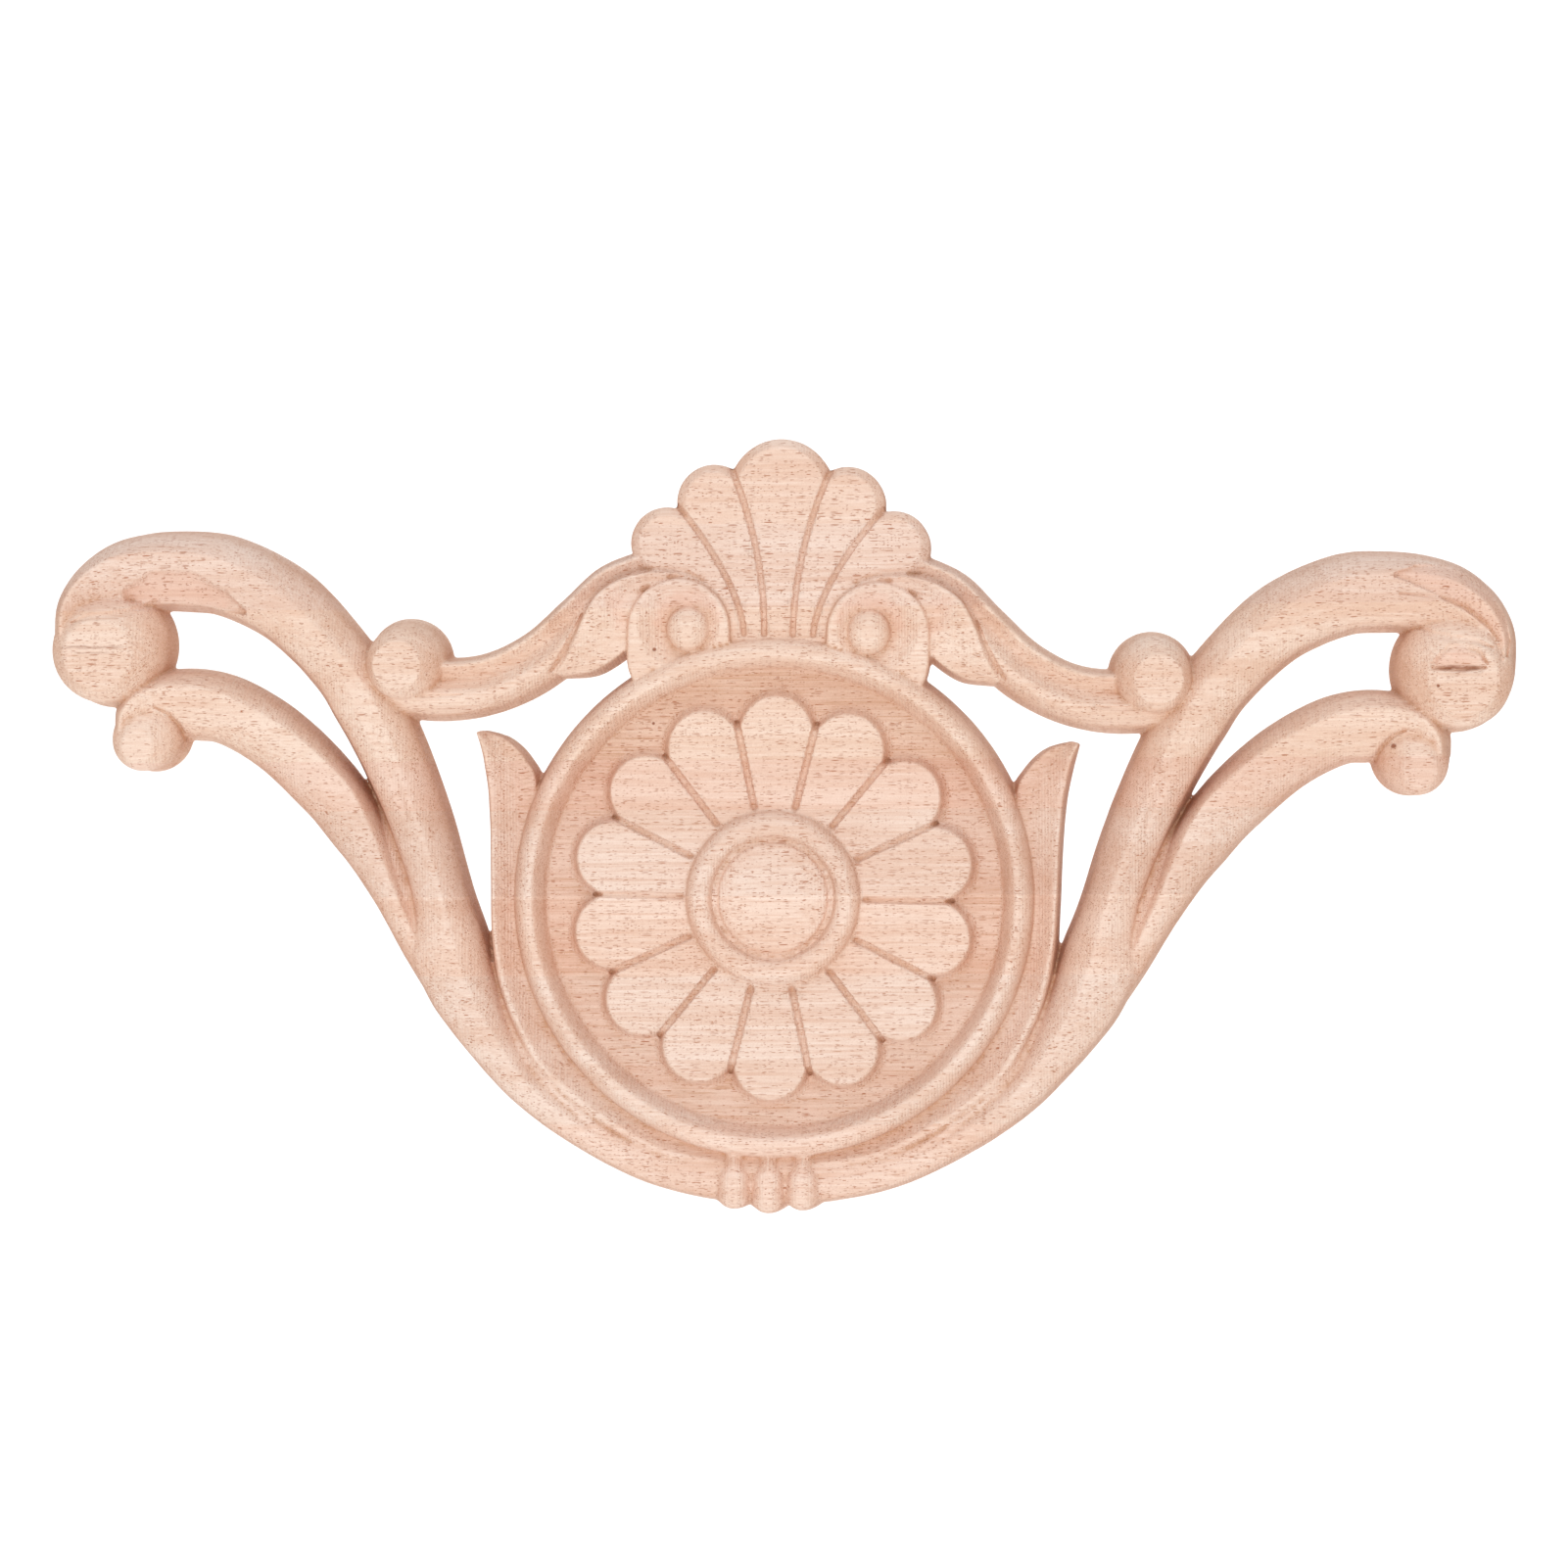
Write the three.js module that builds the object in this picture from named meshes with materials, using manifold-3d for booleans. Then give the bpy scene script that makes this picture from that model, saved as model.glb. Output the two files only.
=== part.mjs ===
// Carved wood applique: a round rosette between two pairs of scroll arms, under a shell crest.
// Millimetres. X runs along the piece, Z up, the carved face looks along -Y and the flat back is Y = 0.
// The origin is on the back, behind the middle of the rosette.
import * as THREE from 'three';
import { mergeVertices } from 'three/addons/utils/BufferGeometryUtils.js';
import Module from 'manifold-3d';

// Driving dimensions, heights measured from the flat back
const ring = { outer: 70.5, width: 8.7, height: 15, foot: 9, seat: 0.3 };
const ground = 8;
const hub = { outer: 23.6, width: 7.6, height: 17, foot: 12.5 };
const dome = { height: 16.2, foot: 13.4, steps: 3 };
const rosette = { petals: 14, tip: 56.5, notch: 49.6, height: 12.6, bevel: 2, groove: 1.9, grooveDepth: 1.3 };
const shell = { height: 14.2, footHeight: 10.8, bevel: 2.3, groove: 1.7, grooveDepth: 1.2, tuck: 0.2 };
const edgeHeight = 8;
const draftAngle = 9;
const spare = 3;
const knotRidge = 0.5;
const bigBall = { angle: 19.7, gap: 123.1, radius: 16.9, flat: 9.5, wall: 8, height: 20, lean: [2.2, -2.8] };
const smallBall = { angle: 13.7, gap: 106, radius: 10.8, flat: 4.6, wall: 7, height: 17.5, lean: [2, -4] };
const innerBall = { angle: 31.7, gap: 48.3, radius: 11.8, flat: 6.6, wall: 8, height: 18.5, lean: [2, -1.5] };
const volute = { angle: 69.4, gap: 6.4, radius: 14, tail: 7, height: 14.6, footHeight: 12, rim: 1.2 };
const dish = { depth: 3.4, shoulderDepth: 1.7, floorShare: 0.5, shoulderShare: 0.8 };
const eye = { angle: 71.7, gap: 6, radius: 7.2, flat: 0.6, wall: 11, height: 16, lean: [0, 0] };
const knot = { spacing: 9.3, halfWidth: 5.2, top: -3, reach: 15.6, step: 1, height: 12.5, round: 4.2 };
const knotBack = { radius: 7.5, height: 7.5 };

// Number of flats round each turned form and of steps along each strap
const flats = { ring: 56, boss: 28, bigBall: 22, ball: 18, eye: 14, dish: 20, lobe: 8, petal: 6 };
const steps = { upperArm: 34, lowerArm: 20, innerArm: 14, acanthus: 12, horn: 18, groove: 8 };

// The upper arm ends round the big ball, so its last stations keep to the ball's outer edge
const outerEdge = bigBall.gap + bigBall.radius;

// Stations of each strap: angle about the rosette, gap out from the ring, strap width,
// ridge distance from the leading edge, ridge height
const upperArm = [
  [-90, 4.5, 8.6, 2.5, 10.5], [-79.3, 4.8, 9, 2.5, 10.5], [-65.2, 5.8, 9.5, 3, 11],
  [-49.7, 6.8, 10.7, 3, 12], [-37.2, 8.6, 12.4, 3, 13], [-27.2, 8.2, 16.2, 3.6, 14],
  [-18.6, 7.8, 20.4, 5, 15], [-8, 8.6, 22.5, 7, 15.5], [0, 12, 17.6, 7.5, 15.5],
  [13.6, 21.1, 18, 8.3, 15.5], [23, 34.3, 19.3, 8.7, 15.5], [28.5, 47.9, 20.3, 8.2, 15.5],
  [31.2, 60.8, 19.8, 8, 15.5], [33.6, 85.6, 21.5, 8.6, 16], [32.6, 107.5, 22.2, 7.4, 16.5],
  [30.8, 119.3, 22.2, 6.8, 17], [28.8, 129.2, 21.5, 6, 17.5],
  [26.6, outerEdge - 3.1, 19.8, 5.5, 18], [23.8, outerEdge + 1.8, 16.8, 5, 18],
  [21.1, outerEdge + 2.8, 11.4, 4, 17.5], [18.9, outerEdge + 0.5, 7, 3, 17],
  [16.9, outerEdge - 4.3, 3, 1.5, 15],
];
const lowerArm = [
  [-23.7, 19.1, 6.2, 2.4, 9], [-10.8, 23.1, 8.6, 3, 11], [0.6, 29, 11.7, 4, 12.8],
  [9.8, 37.3, 16.5, 4.2, 14], [14.3, 45.5, 17.9, 3.4, 14.5], [17.4, 55.2, 18.7, 4, 15],
  [19.8, 67.7, 18.8, 5, 15], [20.9, 79.4, 19, 5.7, 15.5], [21.1, 90.3, 19.2, 5.7, 16],
  [20.4, 100.2, 19.6, 5.4, 16], [19, 109.3, 16, 5, 16], [17.1, 115.7, 12, 4.4, 16],
  [14.9, 118, 8, 3, 15], [13, 116.9, 4, 2, 13],
];
const innerArm = [
  [69.2, 31.1, 13, 8, 13], [60.7, 31.6, 14.4, 8.8, 13], [53, 29.2, 15.9, 9.2, 13],
  [45.2, 28.9, 16.6, 9.6, 13], [39.2, 32.8, 16.7, 9.8, 13], [35.4, 39.6, 17.4, 10, 13],
  [33, 48.8, 17.9, 10.5, 13], [32.6, 57.7, 18, 11, 12],
];
const acanthus = [
  [78.5, 14.7, 1.5, 0.5, 14], [74, 20.3, 2.4, 0.6, 14.5], [68.9, 24.1, 4, 1, 15],
  [63.5, 25.9, 9, 1.2, 15], [58.9, 25.3, 13.5, 1.2, 15], [55.6, 22.9, 17, 1.2, 15],
  [52.2, 19.7, 15.9, 1.2, 14.5], [48.2, 16.5, 11, 1.2, 14], [44.7, 14.8, 3, 0.6, 12],
];
const horn = [
  [-80, 4.6, 6, 2, 10], [-67.2, 6.9, 8, 2.6, 10.5], [-49.7, 8.4, 9.4, 3, 11],
  [-37.2, 10.1, 10.5, 3, 11.5], [-27.1, 9.6, 10.5, 3, 12], [-18.5, 9, 10.4, 2.6, 12],
  [-9.8, 7.9, 9.6, 2, 12], [0, 7.2, 9, 1.5, 12], [10.9, 9, 12, 1.5, 12],
  [16.3, 11.3, 13.4, 1.5, 12], [20.1, 13.7, 15, 1.5, 12], [22.5, 15.9, 13.6, 1.5, 12],
  [24.7, 18.2, 11.3, 1.5, 12], [26.7, 20.7, 7.4, 1, 11.5], [27.9, 22.4, 2.4, 0.3, 11],
];

// Cross-sections: 0 to 1 runs from the leading edge to the ridge, 1 to 2 from there to the far edge,
// each with its share of the rise from the edge height to the ridge height
const roofSection = [[0, 0], [0.5, 0.6], [1, 1], [1.45, 0.84], [2, 0]];
const coveSection = [[0, 0.1], [0.5, 0.25], [1, 1], [1.5, 0.85], [2, 0]];
const leafSection = [[0, 0.9], [1, 1], [1.4, 0.75], [1.75, 0.6], [2, 0.65]];
const hornSection = [[0, 0.8], [1, 1], [1.35, 0.45], [1.7, 0.12], [2, 0]];

// Lobes of the shell: the middle one, and those on one side of it from the middle out
const middleLobe = { gap: 39.7, radius: 14.2 };
const upperLobe = { angle: 80.4, gap: 38, radius: 10.2 };
const lowerLobe = { angle: 72.1, gap: 30, radius: 9.8 };
const sideLobes = [upperLobe, lowerLobe];
// Grooves of the shell: places at foot and head, and how fast the groove bends outwards
const innerGroove = { foot: [3.7, -2], head: [13.4, 46.5], bend: 2 };
const outerGroove = { foot: [9.2, -2], head: [28.6, 37.6], bend: 1.6 };
const shellGrooves = [innerGroove, outerGroove];

const wood = new THREE.MeshStandardMaterial({
  color: 0xe8c8ae,
  roughness: 0.75,
  metalness: 0,
  flatShading: true,
});

const wasm = await Module();
wasm.setup();

const draft = Math.tan(THREE.MathUtils.degToRad(draftAngle));

// A place on the board, given as an angle about the rosette and a gap out from the ring
function place(angle, gap) {
  const turn = THREE.MathUtils.degToRad(angle);
  return new THREE.Vector2(Math.cos(turn), Math.sin(turn)).multiplyScalar(ring.outer + gap);
}

// A closed geometry as a solid, turned inside out first if its faces point inwards
function solid(geometry) {
  const bare = geometry.clone();
  bare.deleteAttribute('normal');
  bare.deleteAttribute('uv');
  const merged = mergeVertices(bare, 1e-4);
  const points = merged.attributes.position.array;
  const corner = (index) => new THREE.Vector3().fromArray(points, 3 * index);
  const faces = [];
  let volume = 0;
  for (let i = 0; i < merged.index.count; i += 3) {
    const [a, b, c] = [0, 1, 2].map((k) => merged.index.getX(i + k));
    if (a === b || b === c || c === a) continue;
    faces.push([a, b, c]);
    volume += corner(a).dot(corner(b).cross(corner(c)));
  }
  const triVerts = new Uint32Array(faces.flatMap(([a, b, c]) => (volume > 0 ? [a, b, c] : [a, c, b])));
  return new wasm.Manifold(new wasm.Mesh({
    numProp: 3,
    vertProperties: new Float32Array(points),
    triVerts,
  }));
}

// The same shape on the other side of the middle line
function mirrored(geometry) {
  return geometry.clone().scale(-1, 1, 1);
}

// A closed skin over rings of points that all have the same count
function loft(rings) {
  const count = rings[0].length;
  const indices = [];
  for (let row = 0; row + 1 < rings.length; row++) {
    for (let i = 0; i < count; i++) {
      const a = row * count + i;
      const b = row * count + (i + 1) % count;
      indices.push(a, b, a + count, b, b + count, a + count);
    }
  }
  const last = (rings.length - 1) * count;
  for (let i = 1; i + 1 < count; i++) {
    indices.push(0, i + 1, i, last, last + i, last + i + 1);
  }
  const geometry = new THREE.BufferGeometry();
  geometry.setAttribute('position', new THREE.Float32BufferAttribute(rings.flat(2), 3));
  geometry.setIndex(indices);
  return geometry;
}

// A strap of carved section along its stations. side is 1 where it lies to the right of its run.
function strap(stations, section, side, count) {
  const edge = new THREE.CatmullRomCurve3(stations.map(([angle, gap]) => {
    const at = place(angle, gap);
    return new THREE.Vector3(at.x, at.y, 0);
  }), false, 'centripetal');
  const form = new THREE.CatmullRomCurve3(
    stations.map(([, , width, ridge, height]) => new THREE.Vector3(width, ridge, height)),
    false,
    'centripetal',
  );
  const rings = [];
  for (let step = 0; step <= count; step++) {
    const t = edge.getUtoTmapping(step / count);
    const at = edge.getPoint(t);
    const along = edge.getTangent(t);
    const across = new THREE.Vector2(along.y, -along.x).multiplyScalar(side);
    const { x: width, y: ridge, z: height } = form.getPoint(t);
    const level = (rise) => edgeHeight + rise * (height - edgeHeight);
    const near = Math.min(draft * level(section[0][1]), 0.5 * ridge);
    const far = width - Math.min(draft * level(section[section.length - 1][1]), 0.3 * width);
    const crest = Math.min(ridge, 0.8 * far);
    const profile = section.map(([where, rise]) => [
      where < 1 ? near + where * (crest - near) : crest + (where - 1) * (far - crest),
      level(rise),
    ]);
    profile.unshift([-draft * spare, -spare]);
    profile.push([width + draft * spare, -spare]);
    rings.push(profile.map(([out, up]) => [at.x + out * across.x, at.y + out * across.y, up]));
  }
  return loft(rings);
}

// A shape turned about an upright axis, given as radius and height from the axis outwards
function turned(profile, segments) {
  const points = profile.map(([radius, height]) => new THREE.Vector2(radius, height));
  return new THREE.LatheGeometry(points, segments).rotateX(Math.PI / 2);
}

// A half-round bead between two radii, as profile points from the outside in
function bead(outer, width, outerFoot, innerFoot, height, count) {
  const points = [];
  for (let step = 0; step <= count; step++) {
    const turn = Math.PI * step / count;
    const foot = turn < Math.PI / 2 ? outerFoot : innerFoot;
    const radius = outer - width / 2 + width / 2 * Math.cos(turn);
    points.push([radius, foot + (height - foot) * Math.sin(turn)]);
  }
  return points;
}

// The disc: a ring bead round a sunk ground
function disc() {
  const wallFoot = ring.outer + draft * (ring.foot + spare);
  const profile = [[0, -spare], [wallFoot, -spare]];
  profile.push(...bead(ring.outer, ring.width, ring.foot, ground, ring.height, 6), [0, ground]);
  return turned(profile, flats.ring);
}

// The boss in the middle of the rosette: a hub bead round a dome
function boss() {
  const profile = [[0, 0], [hub.outer, 0]];
  profile.push(...bead(hub.outer, hub.width, hub.foot, dome.foot, hub.height, 5));
  const rim = hub.outer - hub.width;
  for (let step = 1; step < dome.steps; step++) {
    const turn = Math.PI / 2 * step / dome.steps;
    profile.push([rim * Math.cos(turn), dome.foot + (dome.height - dome.foot) * Math.sin(turn)]);
  }
  profile.push([0, dome.height]);
  return turned(profile, flats.boss);
}

// A ball that rises out of a round boss, its flat crown leaning to one side
function ball({ angle, gap, radius, flat, wall, height, lean }, segments = flats.ball, count = 3) {
  const profile = [[0, -spare], [radius + draft * spare, -spare], [radius, 0]];
  const round = radius - draft * wall - flat;
  for (let step = 0; step <= count; step++) {
    const turn = Math.PI / 2 * step / count;
    profile.push([flat + round * Math.cos(turn), wall + (height - wall) * Math.sin(turn)]);
  }
  profile.push([0, height]);
  const geometry = turned(profile, segments);
  const at = place(angle, gap);
  const position = geometry.attributes.position;
  for (let i = 0; i < position.count; i++) {
    const share = Math.max(0, position.getZ(i) - wall) / (height - wall);
    position.setX(i, position.getX(i) + at.x + share * lean[0]);
    position.setY(i, position.getY(i) + at.y + share * lean[1]);
  }
  return geometry;
}

// Points along a circle's arc, from one direction to another, turning clockwise
function arc(centre, radius, from, to, count) {
  const sweep = ((from - to) % (2 * Math.PI) + 2 * Math.PI) % (2 * Math.PI);
  return Array.from({ length: count + 1 }, (_, step) => {
    const turn = from - sweep * step / count;
    return new THREE.Vector2(centre.x + radius * Math.cos(turn), centre.y + radius * Math.sin(turn));
  });
}

// The outer crossing of two lobes, on the side away from the rosette's middle
function notch(one, other) {
  const between = other.centre.clone().sub(one.centre);
  const apart = between.length();
  const along = (apart ** 2 + one.radius ** 2 - other.radius ** 2) / (2 * apart);
  const off = Math.sqrt(one.radius ** 2 - along ** 2);
  between.normalize();
  const foot = one.centre.clone().addScaledVector(between, along);
  const normal = new THREE.Vector2(-between.y, between.x);
  const reach = normal.dot(one.centre) > 0 ? off : -off;
  return foot.addScaledVector(normal, reach);
}

function direction(from, to) {
  return Math.atan2(to.y - from.y, to.x - from.x);
}

// A flat-topped slab of the given outline, its upper edge bevelled
function slab(outline, height, bevel) {
  return new THREE.ExtrudeGeometry(new THREE.Shape(outline), {
    depth: height - bevel + spare,
    bevelEnabled: true,
    bevelThickness: bevel,
    bevelSize: bevel,
    bevelOffset: -bevel,
    bevelSegments: 2,
    curveSegments: 1,
  }).translate(0, 0, -spare);
}

// The same form with its front sloping down to share of its height at the low place
function sloped(geometry, low, high, share) {
  const position = geometry.attributes.position;
  for (let i = 0; i < position.count; i++) {
    const rise = share + (1 - share) * (position.getY(i) - low) / (high - low);
    position.setZ(i, position.getZ(i) > 0 ? position.getZ(i) * rise : position.getZ(i));
  }
  return geometry;
}

// A V-shaped cut along a run of places, into a face of the given height
function groove(run, width, depth, top) {
  const over = depth;
  const reach = width / 2 * (depth + over) / depth;
  const rings = run.map((at, i) => {
    const before = run[Math.max(0, i - 1)];
    const after = run[Math.min(run.length - 1, i + 1)];
    const along = after.clone().sub(before).normalize();
    return [
      [at.x + reach * along.y, at.y - reach * along.x, top + over],
      [at.x, at.y, top - depth],
      [at.x - reach * along.y, at.y + reach * along.x, top + over],
    ];
  });
  return loft(rings);
}

// The volute beside the shell, a flat-topped round that runs down into the ring
function voluteRound() {
  const centre = place(volute.angle, volute.gap);
  const low = centre.clone().add(new THREE.Vector2(0, -volute.tail));
  const outline = [
    ...arc(centre, volute.radius, Math.PI, 0, flats.dish / 2),
    ...arc(low, volute.radius, 0, -Math.PI, flats.lobe),
  ];
  const round = slab(outline, volute.height, volute.rim / 2);
  return sloped(round, low.y - volute.radius, centre.y + volute.radius, volute.footHeight / volute.height);
}

// The hollow turned into the volute's face
function voluteHollow() {
  const centre = place(volute.angle, volute.gap);
  const rim = volute.radius - volute.rim;
  const above = volute.height + spare;
  const profile = [
    [0, volute.height - dish.depth],
    [dish.floorShare * rim, volute.height - dish.depth],
    [dish.shoulderShare * rim, volute.height - dish.shoulderDepth],
    [rim, volute.height],
    [rim, above],
    [0, above],
  ];
  return turned(profile, flats.dish).translate(centre.x, centre.y, 0);
}

// The rosette: a ring of round-ended petals parted by radial grooves
function petals() {
  const share = Math.PI / rosette.petals;
  const notchX = rosette.notch * Math.cos(share);
  const notchY = rosette.notch * Math.sin(share);
  const centreOut = (rosette.tip ** 2 - rosette.notch ** 2) / (2 * (rosette.tip - notchX));
  const lobes = Array.from({ length: rosette.petals }, (_, i) => {
    const turn = Math.PI / 2 - 2 * share * i;
    return {
      turn,
      centre: new THREE.Vector2(Math.cos(turn), Math.sin(turn)).multiplyScalar(centreOut),
      radius: rosette.tip - centreOut,
    };
  });
  const spread = Math.atan2(notchY, notchX - centreOut);
  const outline = lobes.flatMap(({ turn, centre, radius }) => (
    arc(centre, radius, turn + spread, turn - spread, flats.petal).slice(1)
  ));
  let body = solid(slab(outline, rosette.height, rosette.bevel));
  for (const { turn } of lobes) {
    const way = new THREE.Vector2(Math.cos(turn + share), Math.sin(turn + share));
    const ends = [hub.outer - hub.width / 2, rosette.notch + rosette.bevel];
    const run = ends.map((reach) => way.clone().multiplyScalar(reach));
    const cut = groove(run, rosette.groove, rosette.grooveDepth, rosette.height);
    body = body.subtract(solid(cut));
  }
  return body;
}

// The shell crest: five lobes that fan out from behind the ring
function crest() {
  const side = sideLobes.map(({ angle, gap, radius }) => ({ centre: place(angle, gap), radius }));
  const middle = { centre: place(90, middleLobe.gap), radius: middleLobe.radius };
  const flip = ({ centre, radius }) => ({ centre: new THREE.Vector2(-centre.x, centre.y), radius });
  const lobes = [...[...side].reverse().map(flip), middle, ...side];
  const outer = side[side.length - 1];
  const outline = [];
  lobes.forEach((lobe, i) => {
    const before = lobes[i - 1];
    const after = lobes[i + 1];
    const start = before ? direction(lobe.centre, notch(before, lobe)) : -Math.PI * (0.5 + shell.tuck);
    const end = after ? direction(lobe.centre, notch(lobe, after)) : -Math.PI * (0.5 - shell.tuck);
    outline.push(...arc(lobe.centre, lobe.radius, start, end, flats.lobe).slice(before ? 1 : 0));
  });
  const footHalf = outer.centre.x / 2;
  outline.push(new THREE.Vector2(footHalf, ring.outer - ring.width));
  outline.push(new THREE.Vector2(-footHalf, ring.outer - ring.width));
  const slope = (form) => (
    sloped(form, ring.outer, middle.centre.y + middle.radius, shell.footHeight / shell.height)
  );
  let body = solid(slope(slab(outline, shell.height, shell.bevel)));
  for (const { foot, head, bend } of shellGrooves) {
    const run = Array.from({ length: steps.groove + 1 }, (_, i) => {
      const share = i / steps.groove;
      const x = foot[0] + (head[0] - foot[0]) * share ** bend;
      return new THREE.Vector2(x, ring.outer + foot[1] + (head[1] - foot[1]) * share);
    });
    const cut = slope(groove(run, shell.groove, shell.grooveDepth, shell.height));
    body = body.subtract(solid(cut)).subtract(solid(mirrored(cut)));
  }
  return body;
}

// One bead of the knot at the foot: a round-ended bar with a domed face
function knotBead(centre, reach) {
  const top = new THREE.Vector2(centre, -ring.outer - knot.top);
  const foot = new THREE.Vector2(centre, -ring.outer - reach + knot.halfWidth);
  const outline = [
    ...arc(top, knot.halfWidth, Math.PI, 0, 2),
    ...arc(foot, knot.halfWidth, 0, -Math.PI, flats.lobe),
  ];
  return new THREE.ExtrudeGeometry(new THREE.Shape(outline), {
    depth: knot.height - knot.round + spare,
    bevelEnabled: true,
    bevelThickness: knot.round,
    bevelSize: knot.halfWidth - knotRidge,
    bevelOffset: knotRidge - knot.halfWidth,
    bevelSegments: 3,
  }).translate(0, 0, -spare);
}

// The low round that backs one bead of the knot
function knotFoot(centre, reach) {
  const { radius, height } = knotBack;
  const wall = [[radius + draft * spare, -spare], [radius - draft * height, height]];
  const profile = [[0, -spare], ...wall, [0, height]];
  return turned(profile, flats.boss).translate(centre, radius - ring.outer - reach, 0);
}

// The room that the disc takes out of what grows from behind it
function ringSeat() {
  const radius = ring.outer - ring.seat;
  const low = -2 * spare;
  const high = bigBall.height + spare;
  const profile = [[0, low], [radius, low], [radius, high], [0, high]];
  return turned(profile, flats.ring);
}

// Both sides of a form, added to a body
function withPair(body, geometry) {
  return body.add(solid(geometry)).add(solid(mirrored(geometry)));
}

// The crest with its leaves and volutes, whose hollows are cut through all of them
function head() {
  let body = withPair(crest(), strap(acanthus, leafSection, 1, steps.acanthus));
  body = withPair(body, voluteRound());
  const hollow = voluteHollow();
  body = body.subtract(solid(hollow)).subtract(solid(mirrored(hollow)));
  return withPair(body, ball(eye, flats.eye)).subtract(solid(ringSeat()));
}

// Everything else carved on one side of the middle line
function sideForms() {
  return [
    strap(upperArm, roofSection, 1, steps.upperArm),
    strap(lowerArm, roofSection, 1, steps.lowerArm),
    strap(innerArm, coveSection, 1, steps.innerArm),
    strap(horn, hornSection, -1, steps.horn),
    ball(bigBall, flats.bigBall, 4),
    ball(smallBall),
    ball(innerBall),
    knotBead(knot.spacing, knot.reach - knot.step),
    knotFoot(knot.spacing, knot.reach - knot.step),
  ];
}

// Cut the board flat at the back, and keep only what stands in front of it
function cutFlat(body) {
  const box = body.boundingBox();
  const wide = box.max[0] - box.min[0] + 2 * spare;
  const tall = box.max[1] - box.min[1] + 2 * spare;
  const deep = 4 * spare;
  const below = new THREE.BoxGeometry(wide, tall, deep);
  below.translate((box.max[0] + box.min[0]) / 2, (box.max[1] + box.min[1]) / 2, -deep / 2);
  return body.subtract(solid(below));
}

function applique() {
  let body = solid(disc()).add(petals()).add(solid(boss())).add(head());
  body = body.add(solid(knotBead(0, knot.reach))).add(solid(knotFoot(0, knot.reach)));
  for (const form of sideForms()) {
    body = withPair(body, form);
  }
  const mesh = cutFlat(body).getMesh();
  const geometry = new THREE.BufferGeometry();
  geometry.setAttribute('position', new THREE.Float32BufferAttribute(mesh.vertProperties, 3));
  geometry.setIndex(Array.from(mesh.triVerts));
  geometry.rotateX(Math.PI / 2);
  geometry.computeVertexNormals();
  return geometry;
}

const carving = new THREE.Mesh(applique(), wood);
carving.name = 'applique';

const model = new THREE.Group();
model.add(carving);

export default model;
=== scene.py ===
from math import atan2, cos, hypot, pi, radians, sin, sqrt, tan

import bmesh
import bpy
import numpy as np
from mathutils import Matrix, Vector


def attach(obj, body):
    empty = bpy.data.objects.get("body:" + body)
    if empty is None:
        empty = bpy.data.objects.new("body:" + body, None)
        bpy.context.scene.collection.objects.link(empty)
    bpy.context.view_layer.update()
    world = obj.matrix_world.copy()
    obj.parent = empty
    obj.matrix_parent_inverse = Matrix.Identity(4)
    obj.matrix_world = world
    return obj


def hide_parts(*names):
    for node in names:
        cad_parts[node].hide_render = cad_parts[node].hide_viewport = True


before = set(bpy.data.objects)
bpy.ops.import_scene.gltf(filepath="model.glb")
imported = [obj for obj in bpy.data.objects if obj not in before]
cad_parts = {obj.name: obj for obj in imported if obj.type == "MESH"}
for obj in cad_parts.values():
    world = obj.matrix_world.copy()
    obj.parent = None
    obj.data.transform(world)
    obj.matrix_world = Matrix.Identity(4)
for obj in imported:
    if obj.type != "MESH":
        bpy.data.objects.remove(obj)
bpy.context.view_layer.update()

# Carved lying on the bench in millimetres: x right, y up the piece, z out of the flat back.
# standUp turns the finished carving to metres with its back on Y = 0 and its face to -Y.
mm = 0.001

board = {
    "depth": -1.5,         # how far below the back the forms start, planed off at the end
    "draft": tan(radians(9)),
    "voxel": 0.42,         # grid that fuses the forms
    "soften": 3,           # passes that round the fused edges
    "easing": 10,          # more of them where the stem and the horn run together
    "triangles": 190000,
    "unevenness": 0.16,    # hand sanding leaves the faces a little wavy
}
ring = {"outer": 70.5, "crest": 66.0, "inner": 61.8, "height": 15.0, "foot": 9.0, "ground": 8.0}
rosette = {
    "petals": 14, "tip": 56.5, "notch": 49.6, "height": 12.6,
    "bevel": ((0.5, 0.35), (0.55, 0.9), (0.5, 1.6), (0.3, 1.0), (0.25, 0.35)),
    "grooveWidth": 1.9, "grooveDepth": 1.3, "grooveStart": 25.2, "grooveStop": 1.3,
}
hub = {
    "outer": 23.6, "crest": 19.9, "inner": 16.2, "height": 17.0, "foot": 12.4, "dome": 16.1, "domeFoot": 13.3,
    "lines": ((16.7, 1.1, 0.55), (15.1, 0.9, 0.4)),     # radius, width and depth
}
# Lobes as angle, gap and radius; grooves as foot, head and how they bend
shell = {
    "height": 14.2, "footHeight": 10.8, "grooveWidth": 1.7, "grooveDepth": 1.1,
    "middle": (90, 39.7, 14.2), "side": ((80.4, 38, 10.2), (72.1, 30, 9.8)),
    "bevel": ((0.4, 1.3), (1.9, 2.3), (0.25, 0.15)),
    "grooves": (((3.9, 0.9), (13.4, 45.5), 2), ((9.4, 0.9), (28.2, 35.6), 1.6)),
}
arms = {"edge": 8.0}
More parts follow.
